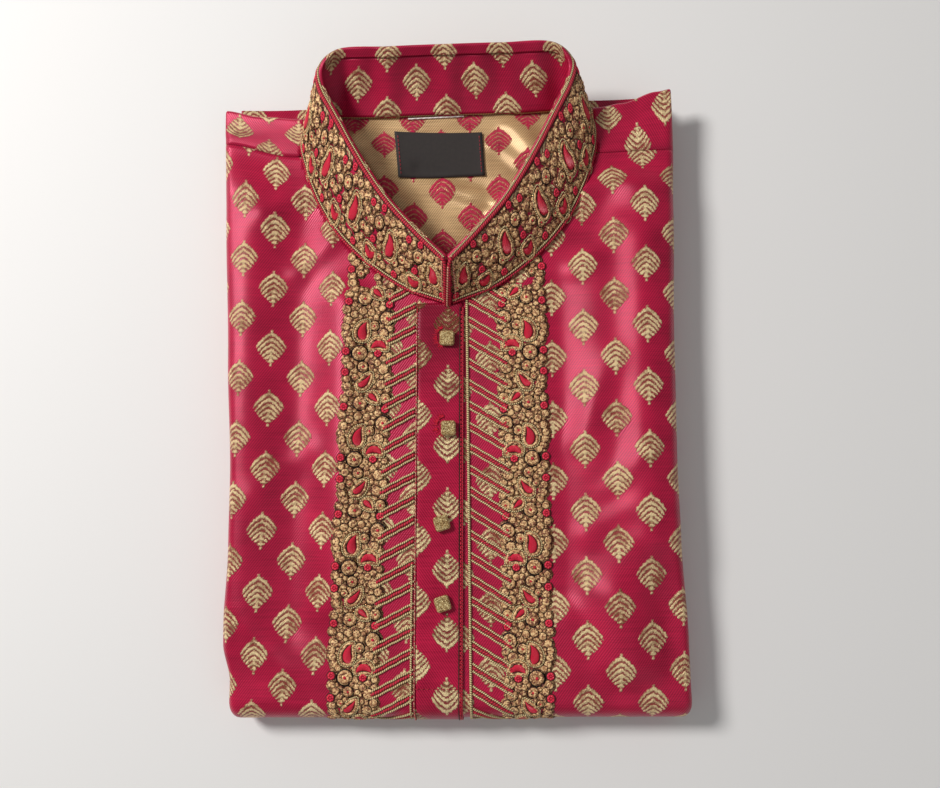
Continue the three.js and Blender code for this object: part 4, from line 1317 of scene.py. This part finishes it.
# ---------------------------------------------------------------------------------------------
# The collar's embroidery: the same scrollwork, smaller and closer, round the whole band, edged
# with rope and cord along the neck seam, the top and both ends at the centre front.
COLLAR_PERIOD = 30.4
COLLAR_REACH = RING_LENGTH / 2
CHART_HEIGHT, CHART_FOOT, CHART_HEAD, CHART_START = 28.6, 3.8, 4.6, 2.6
COLLAR_HEARTS = (
    ((7.6, 9.8), (8.4, 17.4), 3.2, (-2.0, 0.2), True), ((15.0, 7.6), (21.6, 7.8), 2.3, (0, -2.2), False),
)
COLLAR_CURLS = (
    (1.4, 9.4, 2.9, 0.6, 1.2), (17.0, 17.6, 3.9, 2.4, -1.3), (11.8, 7.4, 2.2, 1.2, 1.0),
    (27.0, 12.4, 2.7, 0.2, -1.1),
)
COLLAR_SCALLOPS = (
    (2.3, 15.6, 2.1), (4.4, 19.6, 2.1), (8.2, 21.6, 2.1), (12.3, 20.6, 2.0), (13.6, 13.8, 1.7),
    (24.6, 5.4, 2.2), (23.4, 12.0, 2.0), (8.2, 5.2, 1.7), (4.2, 5.2, 1.9), (22.8, 16.2, 2.1),
    (27.2, 17.6, 2.1), (21.6, 21.4, 1.8), (1.0, 20.6, 1.7), (28.8, 21.6, 1.6), (28.6, 7.0, 1.6),
    (2.8, 12.9, 1.0), (20.0, 4.6, 1.4),
)
COLLAR_KNOTS = ((25.2, 21.4), (16.6, 23.2), (18.2, 11.4), (0.4, 5.0))
COLLAR_SCALLOPS += tuple(filling(
    COLLAR_HEARTS, COLLAR_CURLS, COLLAR_SCALLOPS, COLLAR_KNOTS,
    (-0.6, 4.6), (COLLAR_PERIOD - 0.6, 23.6), (COLLAR_PERIOD, 0), largest=1.9,
))


def collar_chart(side, shift):
    """Puts the chart's (distance from the centre front, height) on one side of the band."""
    def place(places):
        along, up = np.asarray(places, float).T
        u = side * (along + shift - COLLAR_REACH)
        stretch = (collar_height(u) - CHART_FOOT - CHART_HEAD) / (CHART_HEIGHT - CHART_FOOT - CHART_HEAD)
        return np.stack([u, CHART_FOOT + (up - CHART_FOOT) * stretch], -1)
    return place


collar_bm = new_stitching()
for side in (-1, 1):
    for number in range(math.ceil(COLLAR_REACH / COLLAR_PERIOD)):
        shift = number * COLLAR_PERIOD + CHART_START

        def in_reach(place, beyond=0):
            return place[0] + beyond + shift < COLLAR_REACH - 1.0

        chart = COLLAR_HEARTS, COLLAR_CURLS, COLLAR_SCALLOPS, COLLAR_KNOTS
        work_chart(collar_bm, chart, collar_chart(side, shift), in_reach, side, lobe=1.14, band=0.75)

END_IN = 0.9
round_u = np.linspace(-COLLAR_REACH + END_IN, COLLAR_REACH - END_IN, 361)
round_height = collar_height(round_u)
# Thread, place (up from the seam, or down from the top edge), half its width, height and lift.
EDGE_LINES = (
    (ROPE, 1.0, 0.9, 0.9, 0.4), (TWISTED, 2.75, 0.62, 0.7, 0.35), (TWISTED, -0.9, 0.5, 0.55, 0.1),
    (ROPE, -2.5, 1.2, 0.9, 0.3), (DARK, -4.0, 0.3, 0.4, 0.3),
)
for finish, edge, half, height, lift in EDGE_LINES:
    up = edge if edge > 0 else round_height + edge
    sew(collar_bm, np.stack([round_u, np.broadcast_to(up, round_u.shape)], -1), half, height, finish, lift)
PALE_IN = 2.6
for side in (-1, 1):
    u = side * (COLLAR_REACH - PALE_IN)
    top = float(collar_height(u)[0]) - 0.6
    sew(collar_bm, np.linspace((u, 0.4), (u, top), 40), 0.5, 0.6, PALE, 0.4)
sew_up(collar_bm)


def on_collar(x, y, z):
    return collar_point(-x, y, z)


collar_work = make_piece("collar_scrollwork", collar_bm, on_collar, THREADS)
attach(collar_work, "root")
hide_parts("collar_embroidery")

FRONT_LOW = np.array([NECK_CENTRE, NECK_SEAM[0][1], SEAM_Z])
FRONT_HIGH = np.array([NECK_CENTRE, COLLAR_TOP[0][1], COLLAR_TOP_Z])
FRONT_HEIGHT = float(np.linalg.norm(FRONT_HIGH - FRONT_LOW))
FRONT_OUT = np.cross((1, 0, 0), FRONT_HIGH - FRONT_LOW) / FRONT_HEIGHT
ends_bm = new_stitching()
for side in (-1, 1):
    up = np.linspace(-0.8, FRONT_HEIGHT - 0.2, 44)
    across = side * (1.15 + 1.5 * step(up, FRONT_HEIGHT - 4, FRONT_HEIGHT + 1))
    sew(ends_bm, np.stack([across, up], -1), 1.0, 1.0, ROPE, 0.5)
strand = np.linspace((0.6, FRONT_HEIGHT - 5), (-0.2, -0.6), 40)
sew(ends_bm, strand, 0.5, 0.5, PALE, 1.2)
sew(ends_bm, ring_of(-0.3, -1.4, 0.95, 12), 0.32, 0.32, PALE, 1.0, sides=5, closed=True)
sew_up(ends_bm)


def on_front_ends(x, y, z):
    up = (y / FRONT_HEIGHT)[:, None]
    bow = BULGE * 4 * up * (1 - up) * (up < 1)
    lean = np.stack([x - 1.3 * (1 - up[:, 0]), 0 * x, 0 * x], -1)
    return FRONT_LOW + (FRONT_HIGH - FRONT_LOW) * up + lean + FRONT_OUT * (bow + z[:, None])


collar_ends = make_piece("collar_front_edges", ends_bm, on_front_ends, THREADS)
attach(collar_ends, "root")

# ---------------------------------------------------------------------------------------------
# The buttons: small square moulded buttons, their faces filled with gold glitter.
glitter, glitter_shader, glitter_on = new_finish("gold glitter", Coat_Weight=0.3)
flake_bright, flake_rough = glitter_on.flakes(2600)
flake_light = flake_bright * 0.7 + glitter_on.noise(500) * 0.5 - 0.1
flake_colour = flake_light.ramp(
    (0.1, colour(96, 66, 34)), (0.5, colour(176, 138, 82)), (0.85, colour(246, 228, 170))
)
paint(glitter_shader, flake_colour, flake_rough * 0.35 + 0.25, flake_rough.relief(0.7, 0.25), 0.35)
for number in range(1, 5):
    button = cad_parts[f"button_{number}"]
    button.data.materials.clear()
    button.data.materials.append(glitter)

# ---------------------------------------------------------------------------------------------
# The neck label. A bare black woven tape, its ends turned under and sewn to the back's reverse
# with red thread, and the white thread that closes the neck seam above it.
LABEL_CORNERS = ((-27.4, 116.0), (21.3, 115.9), (-29.4, 142.4), (20.0, 140.4))
LABEL_THICK = 0.45
REVERSE_Z = TOP_Z - 2 * SHOULDER_RADIUS + BACK_THICK
low_left, low_right, high_left, high_right = (np.array(c) for c in LABEL_CORNERS)
tape, tape_shader, tape_on = new_finish("black label tape", "weave", Sheen_Weight=0.15, Specular_IOR_Level=0.35)
tape_u, tape_v, _ = tape_on.parts()
WARP, WEFT = 0.42, 0.55
warp, weft = (
    (along * (2 * math.pi / pitch)).sum("SINE") * 0.5 + 0.5 for along, pitch in ((tape_u, WARP), (tape_v, WEFT))
)
tape_height = warp * 0.5 + weft * 0.5
tape_light = tape_height * 0.7 + tape_on.noise(0.5) * 0.5 - 0.1
paint(
    tape_shader, tape_light.tint(colour(24, 21, 21), colour(58, 50, 47)), tape_light * 0.15 + 0.6,
    tape_height.relief(0.6, 0.12),
)


def on_reverse(x, y, z):
    """Lies on the gold reverse inside the back of the neck."""
    return np.stack([x, y, REVERSE_Z - hollow_depth(x, y) + ridges(BACK_FOLDS, x, y) + z], -1)


def on_label(across, up):
    """A place on the label, by its shares of the way across and up."""
    left, right = low_left + (high_left - low_left) * up, low_right + (high_right - low_right) * up
    return left + (right - left) * across


label_rows = []
for up in np.linspace(0, 1, 15):
    row = []
    for across in np.linspace(0, 1, 27):
        at_x, at_y = on_label(across, up)
        curl_up = 0.35 * abs(2 * across - 1) ** 6 + 0.3 * abs(2 * up - 1) ** 5
        row.append((at_x, at_y - 0.5 * math.sin(across * math.pi) * (up > 0.99), 0.75 + curl_up))
    label_rows.append(row)
label_bm = flat_sheet(label_rows)
label = make_piece("neck_label_tape", label_bm, on_reverse, (tape, tape), lambda x, y: (x, y))
thicken(label, LABEL_THICK)
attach(label, "root")
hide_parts("neck_label")

label_stitch_bm = new_stitching()
for end in (0.035, 0.965):
    for up in np.linspace(0.08, 0.86, 10):
        stitch = np.linspace(on_label(end, up), on_label(end, up + 0.05), 4)
        sew(label_stitch_bm, stitch, 0.22, 0.26, ROPE, 1.05, sides=5)
WHITE_FROM, WHITE_TO = (-21.5, 149.4), (10, 150.0)
sew(label_stitch_bm, np.linspace(WHITE_FROM, WHITE_TO, 14), 0.5, 0.4, WHITE, 1.0, sides=5)
sew_up(label_stitch_bm)
label_stitches = make_piece("label_stitches", label_stitch_bm, on_reverse, THREADS)
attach(label_stitches, "root")
for mesh, _ in stitch_shapes.values():
    bpy.data.meshes.remove(mesh)

# ---------------------------------------------------------------------------------------------
# What each piece of cloth was cut to, flat, before it was sewn and folded.
NECK_AREA = 0.0098  # what the front's neck takes out of its sheet, in square metres
NECK_SHARE = 0.97  # what the back's curved neck leaves of its sheet


def row_width(rows, row):
    return float(np.ptp(np.array(rows)[row, :, 0])) * MM


front_across = row_width(front_rows, 60)
FRONT_END * MM
front_across * FRONT_END * MM - NECK_AREA
back_across = row_width(back_rows, 40)
BACK_END * MM
back_across * BACK_END * MM * NECK_SHARE
MEAN_BAND = float(collar_height(around_neck).mean())
